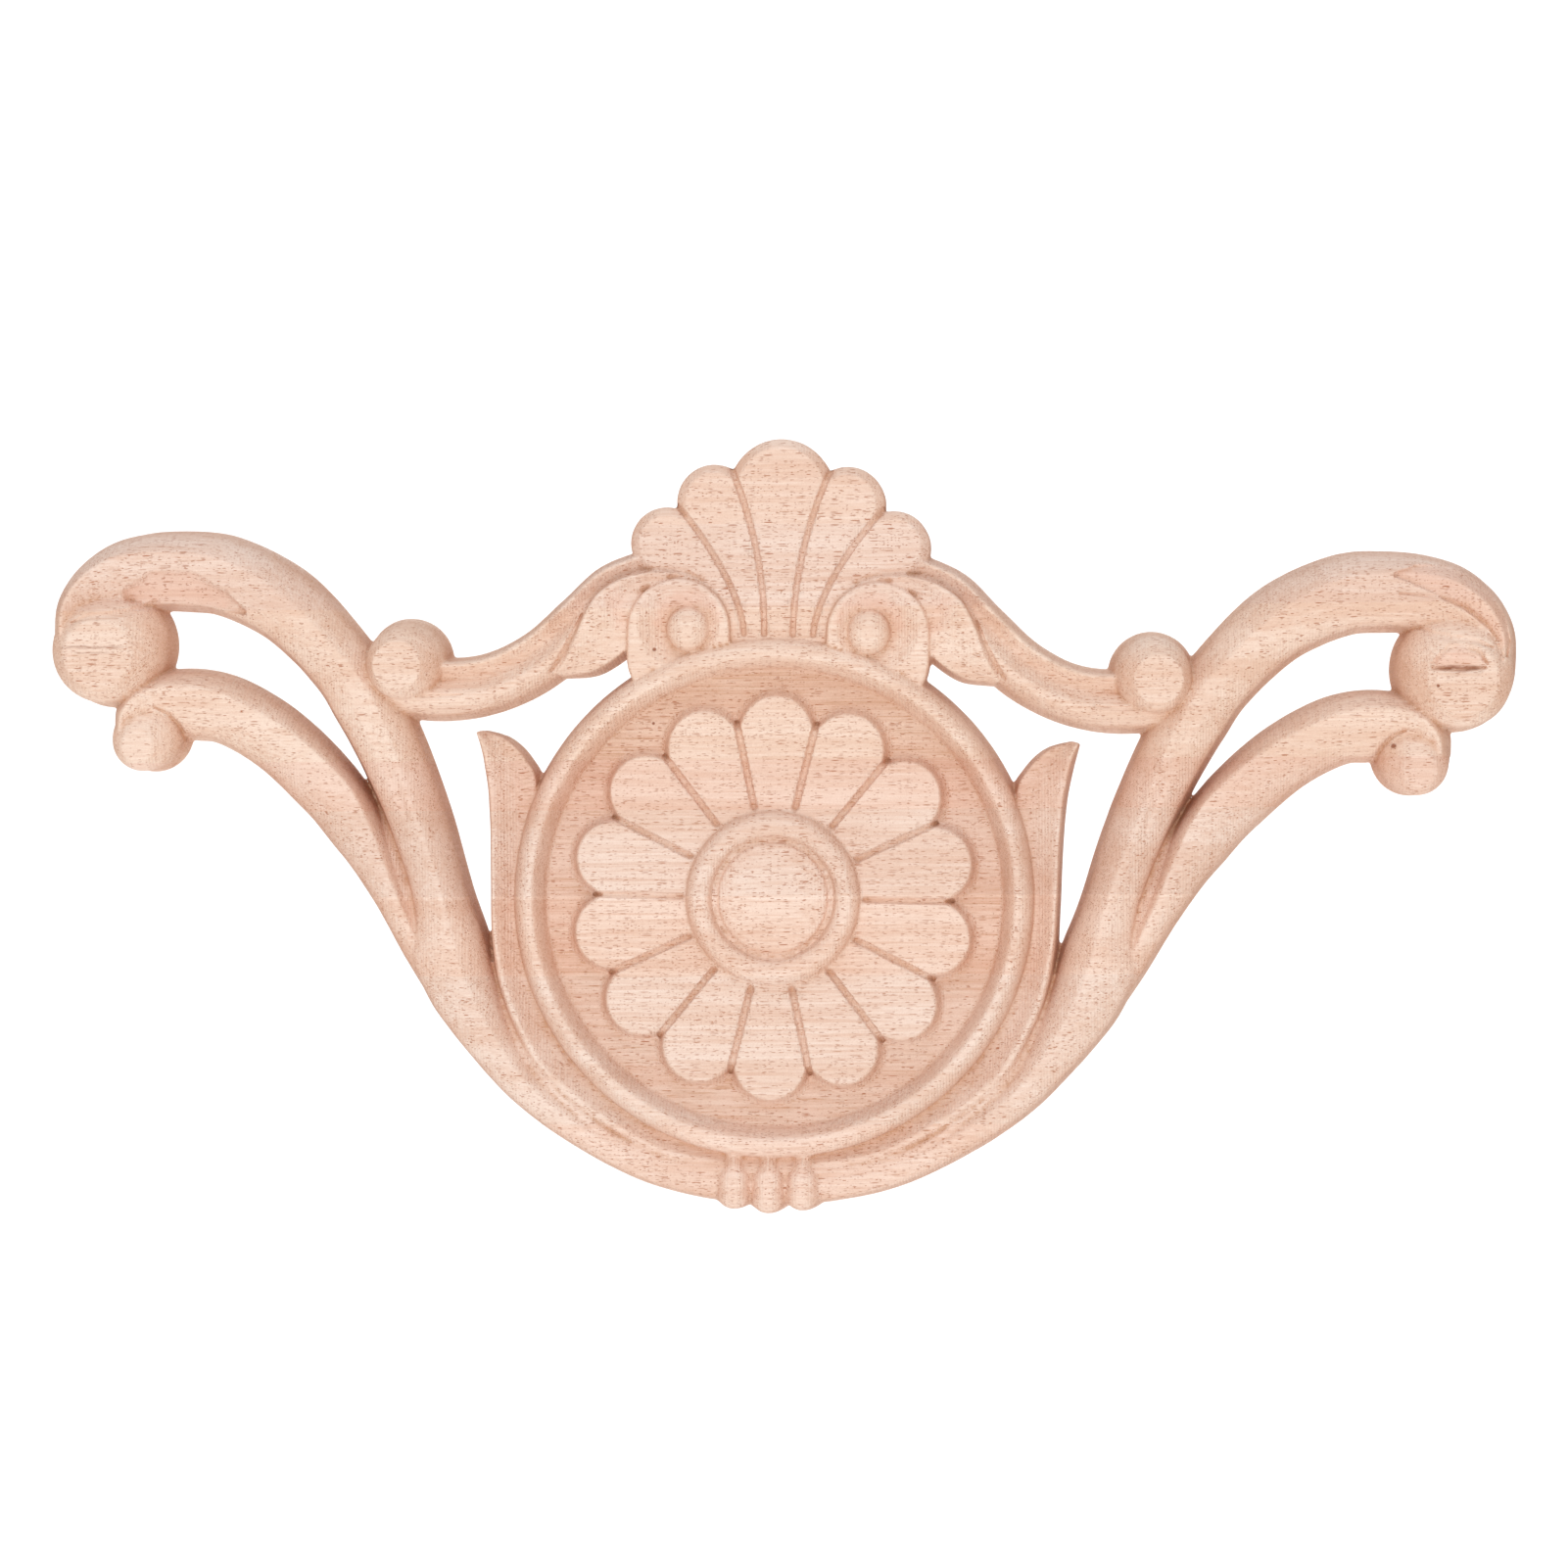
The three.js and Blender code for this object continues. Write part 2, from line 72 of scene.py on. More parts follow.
# The balls lean outwards: the flat top is moved by lean from the middle of the wall
bigBall = {"angle": 19.7, "gap": 123.1, "radius": 16.9, "flat": 9.5, "wall": 8.0, "height": 20.0}
smallBall = {"angle": 13.7, "gap": 106.0, "radius": 10.8, "flat": 4.6, "wall": 7.0, "height": 17.5}
innerBall = {"angle": 31.7, "gap": 48.3, "radius": 11.8, "flat": 6.6, "wall": 8.0, "height": 18.5}
bigBall["lean"], smallBall["lean"], innerBall["lean"] = (2.2, -2.8), (2.0, -4.0), (2.0, -1.5)
volute = {"angle": 69.4, "gap": 6.4, "radius": 14.0, "tail": 7.0, "height": 14.6, "footHeight": 12.0, "dish": 4.8}
eye = {"x": 24.4, "y": 72.4, "radius": 6.0, "top": 16.0}
# Low mounds that carry the leaf beside the volute: x, y, radius, height
leafRoots = [(41.6, 79.6, 5.4, 12.6), (33.0, 85.6, 3.2, 13.4)]
knot = {"spacing": 9.3, "halfWidth": 5.2, "reach": 15.6, "step": 1.0, "height": 13.2, "neck": 0.7, "backRadius": 7.5}

# Each station: angle about the rosette, gap out from the ring, width, ridge offset, ridge height
upperArm = [
    (-90, 4.5, 8.6, 2.5, 10.5), (-79.3, 4.8, 9, 2.5, 10.5), (-65.2, 5.8, 9.5, 3.6, 10.8),
    (-49.7, 6.8, 10.7, 4.4, 11.6), (-37.2, 8.6, 12.4, 5, 12.4), (-27.2, 8.2, 16.2, 6.2, 13.4),
    (-18.6, 7.8, 20.4, 8, 14.6), (-8, 8.6, 22.5, 9, 15.5), (0, 12, 17.6, 7.5, 15.5),
    (13.6, 21.1, 18, 8.3, 15.5), (23, 34.3, 19.3, 8.7, 15.5), (28.5, 47.9, 20.3, 8.2, 15.5),
    (31.2, 60.8, 19.8, 8, 15.5), (33.6, 85.6, 21.5, 8.6, 16), (32.6, 107.5, 22.2, 7.4, 16.5),
    (30.8, 119.3, 22.2, 6.8, 17), (28.8, 129.2, 21.5, 6, 17.5), (26.6, 136.9, 19.8, 5.5, 18),
    (23.8, 141.8, 16.8, 5, 18.4), (21.1, 142.8, 12.4, 4.6, 18.4), (18.9, 140.5, 10, 4.4, 18.2),
    (16.9, 137.1, 8.8, 4.2, 17.8), (15.4, 131.7, 8, 3.8, 17), (14.8, 124.4, 6.6, 3.2, 15.4),
    (15.1, 117.4, 4.6, 2.2, 13),
]
lowerArm = [
    (-23.7, 19.1, 6.2, 2.4, 9), (-10.8, 23.1, 8.6, 3, 11), (0.6, 29, 11.7, 4, 12.8),
    (9.8, 37.3, 16.5, 4.2, 14), (14.3, 45.5, 17.9, 3.4, 14.5), (17.4, 55.2, 18.7, 4, 15),
    (19.8, 67.7, 18.8, 5, 15), (20.9, 79.4, 19, 5.7, 15.5), (21.1, 90.3, 19.2, 5.7, 16),
    (20.4, 100.2, 19.6, 5.4, 16), (19, 109.3, 16, 5, 16.6), (17.1, 115.7, 13.4, 5, 17.4),
    (14.9, 118, 11, 4.6, 17.4), (13, 116.9, 7, 3.6, 16),
]
innerArm = [
    (69.2, 31.1, 13, 8, 13), (60.7, 31.6, 14.4, 8.8, 13), (53, 29.2, 15.9, 9.2, 13),
    (45.2, 28.9, 16.6, 9.6, 13), (39.2, 32.8, 16.7, 9.8, 13), (35.4, 39.6, 17.4, 10, 13),
    (33, 48.8, 17.9, 10.5, 13), (32.6, 57.7, 18, 11, 12),
]
acanthus = [
    (78.5, 14.7, 1.5, 0.5, 11.4), (74, 20.3, 2.4, 0.6, 13), (68.9, 24.1, 4, 1, 14.6),
    (63.5, 25.9, 9, 1.2, 15), (58.9, 25.3, 13.5, 1.2, 15), (55.6, 22.9, 17, 1.2, 15),
    (52.2, 19.7, 15.9, 1.2, 14.5), (48.2, 16.5, 11, 1.2, 14), (44.7, 14.8, 3, 0.6, 12),
]
horn = [
    (-80, 4.6, 6, 2, 10), (-67.2, 6.9, 8, 2.6, 10.5), (-49.7, 8.4, 9.4, 3, 11),
    (-37.2, 10.1, 10.5, 3, 11.5), (-27.1, 9.6, 10.5, 3, 12), (-18.5, 9, 10.4, 2.6, 12),
    (-9.8, 7.9, 9.6, 2, 12), (0, 7.2, 9, 1.5, 12), (10.9, 9, 12, 1.5, 12),
    (16.3, 11.3, 13.4, 1.5, 12), (20.1, 13.7, 15, 1.5, 12), (22.5, 15.9, 13.6, 1.5, 12),
    (24.7, 18.2, 11.3, 1.5, 12), (26.7, 20.7, 7.4, 1, 11.5), (27.9, 22.4, 2.4, 0.3, 11),
]
# The stem and the horn grow together at the foot
web = [
    (-93, -2, 13.4, 6, 10.2), (-80, -1.4, 13, 6, 10.2), (-70, 2, 10.4, 5, 10.3), (-60, 4.6, 7, 3.5, 10.5),
    (-50, 5.4, 5.6, 2.8, 10.8), (-40, 6.6, 5.4, 2.7, 10.6), (-30, 6.7, 5.2, 2.6, 9.6), (-22, 6.4, 4.4, 2.2, 8.2),
    (-14, 7.4, 2.4, 1.2, 6),
]
# and so do the two arms, below the crotch between them
crotch = [
    (-20, 18, 7, 3, 10.4), (-10.8, 20.6, 7, 3, 10.8), (0.6, 26.4, 7.4, 3.2, 11), (6, 31, 7, 3, 10.6),
    (9.8, 35, 6, 2.8, 9.2), (11.4, 37.6, 5, 2.4, 6.8), (12.8, 40.4, 3.8, 1.8, 3.4), (14, 43.2, 2.4, 1.2, 0.5),
]
# Cross-sections: 0 to 1 from the leading edge to the ridge, 1 to 2 on to the far edge, with the share
# of the rise from the arm's edge height to its ridge height
roofSection = [
    (0, 0), (0.1, 0.19), (0.22, 0.37), (0.36, 0.54), (0.5, 0.68), (0.65, 0.8), (0.8, 0.9), (0.9, 0.955), (1, 1),
    (1.12, 0.965), (1.28, 0.91), (1.45, 0.84), (1.6, 0.76), (1.75, 0.66), (1.88, 0.55), (1.97, 0.42), (2, 0.34),
]
steepSection = [
    (0, 0), (0.15, 0.22), (0.32, 0.45), (0.5, 0.66), (0.7, 0.84), (0.86, 0.94), (1, 1),
    (1.1, 0.975), (1.25, 0.93), (1.42, 0.86), (1.58, 0.75), (1.72, 0.62), (1.84, 0.46), (1.94, 0.26), (2, 0.05),
]
coveSection = [
    (0, 0.5), (0.06, 0.7), (0.12, 0.76), (0.25, 0.54), (0.4, 0.36), (0.55, 0.34), (0.7, 0.5), (0.85, 0.76), (1, 1),
    (1.12, 1.06), (1.28, 1.05), (1.45, 0.98), (1.6, 0.84), (1.75, 0.64), (1.88, 0.4), (1.96, 0.2), (2, 0),
]
leafSection = [
    (0, 0.86), (0.4, 0.96), (1, 1), (1.15, 0.93), (1.3, 0.84), (1.45, 0.75), (1.6, 0.66), (1.75, 0.6), (1.9, 0.56),
    (2, 0.55),
]
hornSection = [
    (0, 0.7), (0.5, 0.93), (1, 1), (1.12, 0.88), (1.25, 0.68), (1.4, 0.48), (1.55, 0.33), (1.7, 0.22),
    (1.85, 0.16), (2, 0.12),
]

crotchSection = [(0, 0.78), (0.5, 0.83), (1, 0.89), (1.5, 0.94), (2, 1)]
# From the wall to the edge of a ball's flat top: share of the slope's width and of its rise
ballSection = [
    (1, 0), (0.97, 0.16), (0.91, 0.33), (0.83, 0.48), (0.72, 0.61), (0.6, 0.7), (0.45, 0.79), (0.28, 0.87),
    (0.1, 0.955), (0.03, 0.985), (0, 1),
]


def clearSelection():
    if bpy.context.mode != "OBJECT":
        bpy.ops.object.mode_set(mode="OBJECT")
    bpy.ops.object.select_all(action="DESELECT")


def pick(*forms):
    clearSelection()
    for form in forms:
        form.select_set(True)
    bpy.context.view_layer.objects.active = forms[0]


def useModifier(form, kind, **settings):
    pick(form)
    modifier = form.modifiers.new(kind.lower(), kind)
    for key, value in settings.items():
        setattr(modifier, key, value)
    bpy.ops.object.modifier_apply(modifier=modifier.name)


def place(angle, gap):
    reach = ring["outer"] + gap
    return cos(radians(angle)) * reach, sin(radians(angle)) * reach


# A filled circle is set to the first outline, then pulled out from outline to outline
def drawOut(name, outlines):
    clearSelection()
    bpy.ops.mesh.primitive_circle_add(vertices=len(outlines[0]), fill_type="NGON")
    form = bpy.context.object
    form.name = name
    bpy.ops.object.mode_set(mode="EDIT")
    mesh = bmesh.from_edit_mesh(form.data)
    mesh.verts.ensure_lookup_table()
    for corner, to in zip(mesh.verts, outlines[0]):
        corner.co = to
    order = {tuple(corner.co): i for i, corner in enumerate(mesh.verts)}
    bmesh.update_edit_mesh(form.data)
    bpy.ops.mesh.select_all(action="SELECT")
    for outline in outlines[1:]:
        bpy.ops.mesh.extrude_region_move()
        mesh = bmesh.from_edit_mesh(form.data)
        moved = {}
        for corner in [v for v in mesh.verts if v.select]:
            i = order[tuple(corner.co)]
            corner.co = outline[i]
            moved[tuple(corner.co)] = i
        order = moved
        bmesh.update_edit_mesh(form.data)
    bpy.ops.mesh.select_all(action="SELECT")
    bpy.ops.mesh.normals_make_consistent(inside=False)
    bpy.ops.object.mode_set(mode="OBJECT")
    return form


# Turned on the lathe: rings of the given radius and height, the centre leaning away with the height
def turnForm(name, profile, centre=(0, 0), lean=(0, 0), leanFrom=0.0, sides=96):
    top = max(height for _, height in profile)
    outlines = []
    for radius, height in profile:
        share = max(0.0, height - leanFrom) / max(1e-6, top - leanFrom)
        middle = (centre[0] + lean[0] * share, centre[1] + lean[1] * share)
        outlines.append([
            (middle[0] + max(radius, 0.02) * cos(2 * pi * i / sides),
             middle[1] + max(radius, 0.02) * sin(2 * pi * i / sides), height)
            for i in range(sides)
        ])
    return drawOut(name, outlines)


# A smooth run through the stations, evenly spaced along the edge that they follow
def smoothRun(rows, count):
    points = np.array(rows, float)
    points = np.vstack([2 * points[0] - points[1], points, 2 * points[-1] - points[-2]])
    fine = []
    for i in range(1, len(points) - 2):
        before, start, end, after = points[i - 1:i + 3]
        pairs = ((before, start), (start, end), (end, after))
        first, here, last = [max(1e-3, np.linalg.norm((b - a)[:2])) ** 0.5 for a, b in pairs]
        leave = ((start - before) / first - (end - before) / (first + here) + (end - start) / here) * here
        arrive = ((end - start) / here - (after - start) / (here + last) + (after - end) / last) * here
        for s in np.arange(20) / 20:
            fine.append((2 * s ** 3 - 3 * s ** 2 + 1) * start + (s ** 3 - 2 * s ** 2 + s) * leave
                        + (3 * s ** 2 - 2 * s ** 3) * end + (s ** 3 - s ** 2) * arrive)
    fine.append(points[-2])
    fine = np.array(fine)
    travelled = np.concatenate([[0], np.cumsum(np.linalg.norm(np.diff(fine[:, :2], axis=0), axis=1))])
    stops = np.linspace(0, travelled[-1], count + 1)
    return np.array([np.interp(stops, travelled, fine[:, k]) for k in range(fine.shape[1])]).T


# A strap of carved section: side is 1 where it lies to the right of its run
def carveStrap(name, stations, section, side, count, edge):
    run = smoothRun([(*place(angle, gap), *rest) for angle, gap, *rest in stations], count)
    ways = np.gradient(run[:, :2], axis=0)
    ways /= np.linalg.norm(ways, axis=1)[:, None]
    draft, deep = board["draft"], board["depth"]
    outlines = []
    for (x, y, width, ridge, height), (wayX, wayY) in zip(run, ways):
        level = [edge + rise * (height - edge) for _, rise in section]
        near = min(draft * level[0], 0.5 * ridge)
        far = width - min(draft * level[-1], 0.3 * width)
        crest = min(ridge, 0.8 * far)
        across = [near + at * (crest - near) if at < 1 else crest + (at - 1) * (far - crest) for at, _ in section]
        profile = [(draft * deep, deep), *zip(across, level), (width - draft * deep, deep)]
        outlines.append([(x + out * side * wayY, y - out * side * wayX, up) for out, up in profile])
    return drawOut(name, outlines)


# A flat slab of the given outline, its upper edge drawn in step by step
def slabForm(name, outline, height, steps):
    clearSelection()
    bpy.ops.mesh.primitive_circle_add(vertices=len(outline), fill_type="NGON")
    form = bpy.context.object
    form.name = name
    bpy.ops.object.mode_set(mode="EDIT")
    mesh = bmesh.from_edit_mesh(form.data)
    mesh.verts.ensure_lookup_table()
    for corner, (x, y) in zip(mesh.verts, outline):
        corner.co = (x, y, board["depth"])
    bmesh.update_edit_mesh(form.data)
    bpy.ops.mesh.select_all(action="SELECT")
    bpy.ops.mesh.normals_make_consistent(inside=False)
    drop = sum(rise for _, rise in steps)
    bpy.ops.mesh.extrude_region_move(TRANSFORM_OT_translate={"value": (0, 0, height - drop - board["depth"])})
    mesh = bmesh.from_edit_mesh(form.data)
    for face in mesh.faces:
        if face.select and face.normal.z < 0:
            face.normal_flip()
    bmesh.update_edit_mesh(form.data)
    for width, rise in steps:
        bpy.ops.mesh.inset(thickness=width, depth=rise, use_even_offset=True)
    bpy.ops.mesh.select_all(action="SELECT")
    bpy.ops.mesh.normals_make_consistent(inside=False)
    bpy.ops.object.mode_set(mode="OBJECT")
    return form


# The faces in front fall away to share of their height at the low place
def fallAway(form, low, high, share):
    for corner in form.data.vertices:
        if corner.co.z > 0:
            corner.co.z *= share + (1 - share) * (corner.co.y - low) / (high - low)
    return form


def pairOf(form):
    useModifier(form, "MIRROR", use_axis=(True, False, False), use_mirror_merge=False)
    return form


def cutBy(form, cutter):
    useModifier(form, "BOOLEAN", operation="DIFFERENCE", solver="EXACT", object=cutter)
    return form


def dropForm(*forms):
    pick(*forms)
    bpy.ops.object.delete()


def circleArc(centre, radius, start, end, count):
    sweep = (start - end) % (2 * pi)
    turns = [start - sweep * i / count for i in range(count + 1)]
    return [(centre[0] + radius * cos(turn), centre[1] + radius * sin(turn)) for turn in turns]


def crossing(one, other):
    (ax, ay), ra = one
    (bx, by), rb = other
    apart = hypot(bx - ax, by - ay)
    along = (apart ** 2 + ra ** 2 - rb ** 2) / (2 * apart)
    off = sqrt(ra ** 2 - along ** 2)
    ux, uy = (bx - ax) / apart, (by - ay) / apart
    found = [(ax + along * ux - turn * off * uy, ay + along * uy + turn * off * ux) for turn in (1, -1)]
    return max(found, key=lambda at: at[0] ** 2 + at[1] ** 2)


def lobedOutline(lobes, count, closed):
    outline = []
    for i, (centre, radius) in enumerate(lobes):
        before = lobes[i - 1] if closed or i else None
        after = lobes[(i + 1) % len(lobes)] if closed or i + 1 < len(lobes) else None
        start, end = -0.7 * pi, -0.3 * pi
        if before:
            x, y = crossing(before, (centre, radius))
            start = atan2(y - centre[1], x - centre[0])
        if after:
            x, y = crossing((centre, radius), after)
            end = atan2(y - centre[1], x - centre[0])
        outline += circleArc(centre, radius, start, end, count)[1 if before else 0:]
    return outline


def ballForm(name, size, sides=80):
    draft, wall, height = board["draft"], size["wall"], size["height"]
    profile = [(size["radius"] - draft * board["depth"], board["depth"]), (size["radius"], 0)]
    slope = size["radius"] - draft * wall - size["flat"]
    for out, up in ballSection:
        profile.append((size["flat"] + slope * out, wall + (height - wall) * up))
    profile += [(size["flat"] * 0.9, height + 0.1), (size["flat"] * 0.5, height + 0.2), (0, height + 0.25)]
    return turnForm(name, profile, place(size["angle"], size["gap"]), size["lean"], wall, sides)


def discForm():
    profile = [(ring["outer"] + board["draft"] * (ring["foot"] - board["depth"]), board["depth"])]
    for step in range(13):
        turn = pi / 2 * step / 12
        profile.append((ring["crest"] + (ring["outer"] - ring["crest"]) * cos(turn),
                        ring["foot"] + (ring["height"] - ring["foot"]) * sin(turn)))
    for step in range(1, 15):
        share = step / 14
        fall = cos(pi / 2 * share) ** 1.35
        profile.append((ring["crest"] + (ring["inner"] - ring["crest"]) * share,
                        ring["ground"] + (ring["height"] - ring["ground"]) * fall))
    profile += [(40, ring["ground"]), (0, ring["ground"])]
    return turnForm("disc", profile, sides=240)


def hubForm():
    profile = [(hub["outer"] + 0.8, board["depth"]), (hub["outer"] + 0.3, hub["foot"] - 0.3)]
    for step in range(1, 11):
        turn = pi / 2 * step / 10
        profile.append((hub["crest"] + (hub["outer"] - hub["crest"]) * cos(turn),
                        hub["foot"] + (hub["height"] - hub["foot"]) * sin(turn)))
    for step in range(1, 11):
        turn = pi / 2 * (1 - step / 10)
        profile.append((hub["crest"] + (hub["inner"] - hub["crest"]) * cos(turn),
                        hub["domeFoot"] + (hub["height"] - hub["domeFoot"]) * sin(turn)))
    for step in range(1, 12):
        turn = pi / 2 * step / 12
        profile.append(((hub["inner"] - 0.2) * cos(turn) ** 0.85,
                        hub["domeFoot"] + (hub["dome"] - hub["domeFoot"]) * sin(turn)))
    profile.append((0, hub["dome"]))
    return turnForm("hub", profile, sides=128)


def rosetteForm():
    share = pi / rosette["petals"]
    notchX = rosette["notch"] * cos(share)
    out = (rosette["tip"] ** 2 - rosette["notch"] ** 2) / (2 * (rosette["tip"] - notchX))
    lobes = [((out * cos(pi / 2 - 2 * share * i), out * sin(pi / 2 - 2 * share * i)), rosette["tip"] - out)
             for i in range(rosette["petals"])]
    return slabForm("petals", lobedOutline(lobes, 18, True), rosette["height"], rosette["bevel"])


def shellForm():
    *side, middle = [(place(angle, gap), radius) for angle, gap, radius in (*shell["side"], shell["middle"])]
    lobes = [((-x, y), r) for (x, y), r in reversed(side)] + [middle] + side
    outline = lobedOutline(lobes, 22, False)
    footHalf = side[1][0][0] / 2
    outline += [(footHalf, ring["outer"] - 8.7), (-footHalf, ring["outer"] - 8.7)]
    form = slabForm("shell", outline, shell["height"], shell["bevel"])
    return fallAway(form, ring["outer"], middle[0][1] + middle[1], shell["footHeight"] / shell["height"])


def voluteForm():
    x, y = place(volute["angle"], volute["gap"])
    low = y - volute["tail"]
    outline = circleArc((x, y), volute["radius"], pi, 0, 40) + circleArc((x, low), volute["radius"], 0, -pi, 24)
    form = slabForm("volute", outline, volute["height"], [(0.3, 0.8), (0.3, 0.3)])
    fallAway(form, low - volute["radius"], y + volute["radius"], volute["footHeight"] / volute["height"])
    return form


def dishCutter():
    x, y = place(volute["angle"], volute["gap"])
    rim = volute["radius"] - 1.2
    floor = volute["height"] - volute["dish"]
    profile = [(0, volute["height"] + 6), (rim, volute["height"] + 6), (rim, volute["height"] + 0.1)]
    for step in range(1, 14):
        share = step / 14
        profile.append((rim * (1 - share), floor + volute["dish"] * (1 - sin(pi / 2 * share)) ** 1.1))
    profile.append((0, floor))
    return turnForm("dish", profile, (x, y), sides=96)


def seatCutter():
    radius = ring["outer"] - 0.3
    return turnForm("seat", [(radius, -10), (radius, 30)], sides=240)


# Each bead of the knot is narrow and low under the ring and swells to the foot
def dropShape(centre, x, y, level):
    swell = min(1.0, max(0.0, (-71 - y) / 6))
    swell = swell * swell * (3 - 2 * swell)
    width = knot["neck"] + (1 - knot["neck"]) * swell
    return centre + (x - centre) * width, y, level if level < 7.5 else level - (1 - swell) * min(2.6, level - 7.5)


def knotForms():
    forms = []
    for centre, reach in ((0, knot["reach"]), (knot["spacing"], knot["reach"] - knot["step"]),
                          (-knot["spacing"], knot["reach"] - knot["step"])):
        outlines = []
        top, foot = -ring["outer"] + 3, -ring["outer"] - reach + knot["halfWidth"]
        levels = [(board["depth"], -0.35), (7.2, 0.3)]
        for s in range(10):
            turn = pi / 2 * s / 9
            levels.append((7.6 + (knot["height"] - 7.6) * sin(turn), 0.3 + 4.7 * (1 - cos(turn))))
        for level, inset in levels:
            half = knot["halfWidth"] - inset
            loop = circleArc((centre, top), half, pi, 0, 8)
            loop += [(centre + half, top + (foot - top) * s / 12) for s in range(1, 12)]
            loop += circleArc((centre, foot), half, 0, -pi, 24)
            loop += [(centre - half, foot + (top - foot) * s / 12) for s in range(1, 12)]
            outlines.append([dropShape(centre, x, y, level) for x, y in loop])
        forms.append(drawOut("knotBead", outlines))
        back, draft = knot["backRadius"], board["draft"]
        backing = [(back - draft * board["depth"], board["depth"]), (back - draft * 7, 7.0), (0, 7.4)]
        forms.append(turnForm("knotBack", backing, (centre, back - ring["outer"] - reach), sides=48))
    return forms


# The crest: shell, leaves and volutes, with the dishes and the ring's seat taken out of each
def headForms():
    seat = seatCutter()
    dish = pairOf(dishCutter())
    leaf = carveStrap("leaf", acanthus, leafSection, 1, 90, arms["edge"])
    parts = [shellForm(), pairOf(leaf), pairOf(voluteForm())]
    for x, y, radius, height in leafRoots:
        root = [(radius, board["depth"]), (radius * 0.9, height - 0.5), (radius * 0.6, height), (0, height)]
        parts.append(pairOf(turnForm("leafRoot", root, (x, y), sides=48)))
    for part in parts:
        cutBy(part, dish)
        cutBy(part, seat)
    profile = [(eye["radius"] + 0.4, 0), (eye["radius"], 11)]
    for s in range(1, 12):
        turn = pi / 2 * s / 12
        profile.append((eye["radius"] * cos(turn) ** 0.9, 11 + (eye["top"] - 11) * sin(turn)))
    profile.append((0, eye["top"]))
    parts.append(cutBy(pairOf(turnForm("eye", profile, (eye["x"], eye["y"]), sides=48)), seat))
    dropForm(seat, dish)
    return parts


def armForms():
    edge = arms["edge"]
    return [
        pairOf(carveStrap("upperArm", upperArm, roofSection, 1, 220, edge)),
        pairOf(carveStrap("lowerArm", lowerArm, steepSection, 1, 130, edge)),
        pairOf(carveStrap("innerArm", innerArm, coveSection, 1, 80, edge)),
        pairOf(carveStrap("horn", horn, hornSection, -1, 110, edge)),
        pairOf(carveStrap("web", web, roofSection, 1, 40, edge - 0.4)),
        pairOf(carveStrap("crotch", crotch, crotchSection, 1, 60, 0)),
        pairOf(ballForm("bigBall", bigBall, 110)),
        pairOf(ballForm("smallBall", smallBall)),
        pairOf(ballForm("innerBall", innerBall)),
    ]


print("Carving the forms")
forms = [discForm(), rosetteForm(), hubForm(), *headForms(), *armForms(), *knotForms()]

print("Fusing the forms into one board")
pick(*forms)
bpy.ops.object.join()
carving = bpy.context.object
carving.name = "carvedApplique"
carving.data.name = "carvedApplique"
useModifier(carving, "REMESH", mode="VOXEL", voxel_size=board["voxel"])
useModifier(carving, "SMOOTH", factor=0.5, iterations=board["soften"])
print("fused", len(carving.data.vertices))


def readVertices(form, what):
    values = np.empty(len(form.data.vertices) * 3)
    form.data.vertices.foreach_get(what, values)
    return values.reshape(-1, 3)


# How near each corner lies to a path, as a share of half its width, which may change along it
def nearTo(coords, allowed, path, width):
    path = np.array(path, float)
    halves = np.interp(np.linspace(0, 1, len(path)), np.linspace(0, 1, np.size(width)), np.atleast_1d(width)) / 2
    low, high = path.min(axis=0) - halves.max(), path.max(axis=0) + halves.max()
    near = np.where((coords[:, 0] > low[0]) & (coords[:, 0] < high[0]) & (coords[:, 1] > low[1])
                    & (coords[:, 1] < high[1]) & allowed)[0]
    here = coords[near, :2]
    nearest = np.full(len(near), 1e9)
    for a, b, start, end in zip(path[:-1], path[1:], halves[:-1], halves[1:]):
        span = b - a
        along = np.clip(((here - a) @ span) / max(1e-9, span @ span), 0, 1)
        away = np.linalg.norm(here - (a + along[:, None] * span), axis=1) / (start + along * (end - start))
        nearest = np.minimum(nearest, away)
    return near, nearest


# A gouge stroke: what lies within half the width of the path sinks by the depth
def gouge(coords, allowed, path, width, depth, power=2.0):
    near, nearest = nearTo(coords, allowed, path, width)
    coords[near, 2] -= depth * np.clip(1 - nearest ** power, 0, 1)


def ringPath(radius, sides=72):
    return [(radius * cos(2 * pi * i / sides), radius * sin(2 * pi * i / sides)) for i in range(sides + 1)]


# Strokes for both halves, given for the right one: path, width, depth, how flat the bottom is
bothStrokes = [
    ([(101, 54), (97, 53.1), (93, 53), (86, 53.5)], (1.2, 1.8, 0.8), 0.6, 2),
    ([(95.5, 57.8), (91.5, 57.2), (88, 57.6)], (1.5, 0.6), 0.4, 2),
    ([(61.5, 60.6), (58.6, 65), (55.5, 71), (53.6, 76)], (1.2, 1.8, 0.8), 1.0, 2),
    ([(38, 88.6), (31, 89), (25, 88), (20.5, 85.6)], (1.0, 1.8, 0.6), 0.4, 2),
    ([(169.5, 48.6), (166, 47), (163.2, 44), (162, 40)], (0.8, 1.8, 1.2), 0.9, 2),
    ([(118, 62), (112, 51), (105.5, 36), (100, 20)], (2, 7, 2), 0.35, 2),
    ([(192, 71), (187.5, 72.6), (183, 73), (176, 74.4), (170.5, 77.5)], (0.8, 2.6, 2.6, 1.4), 0.9, 2),
]
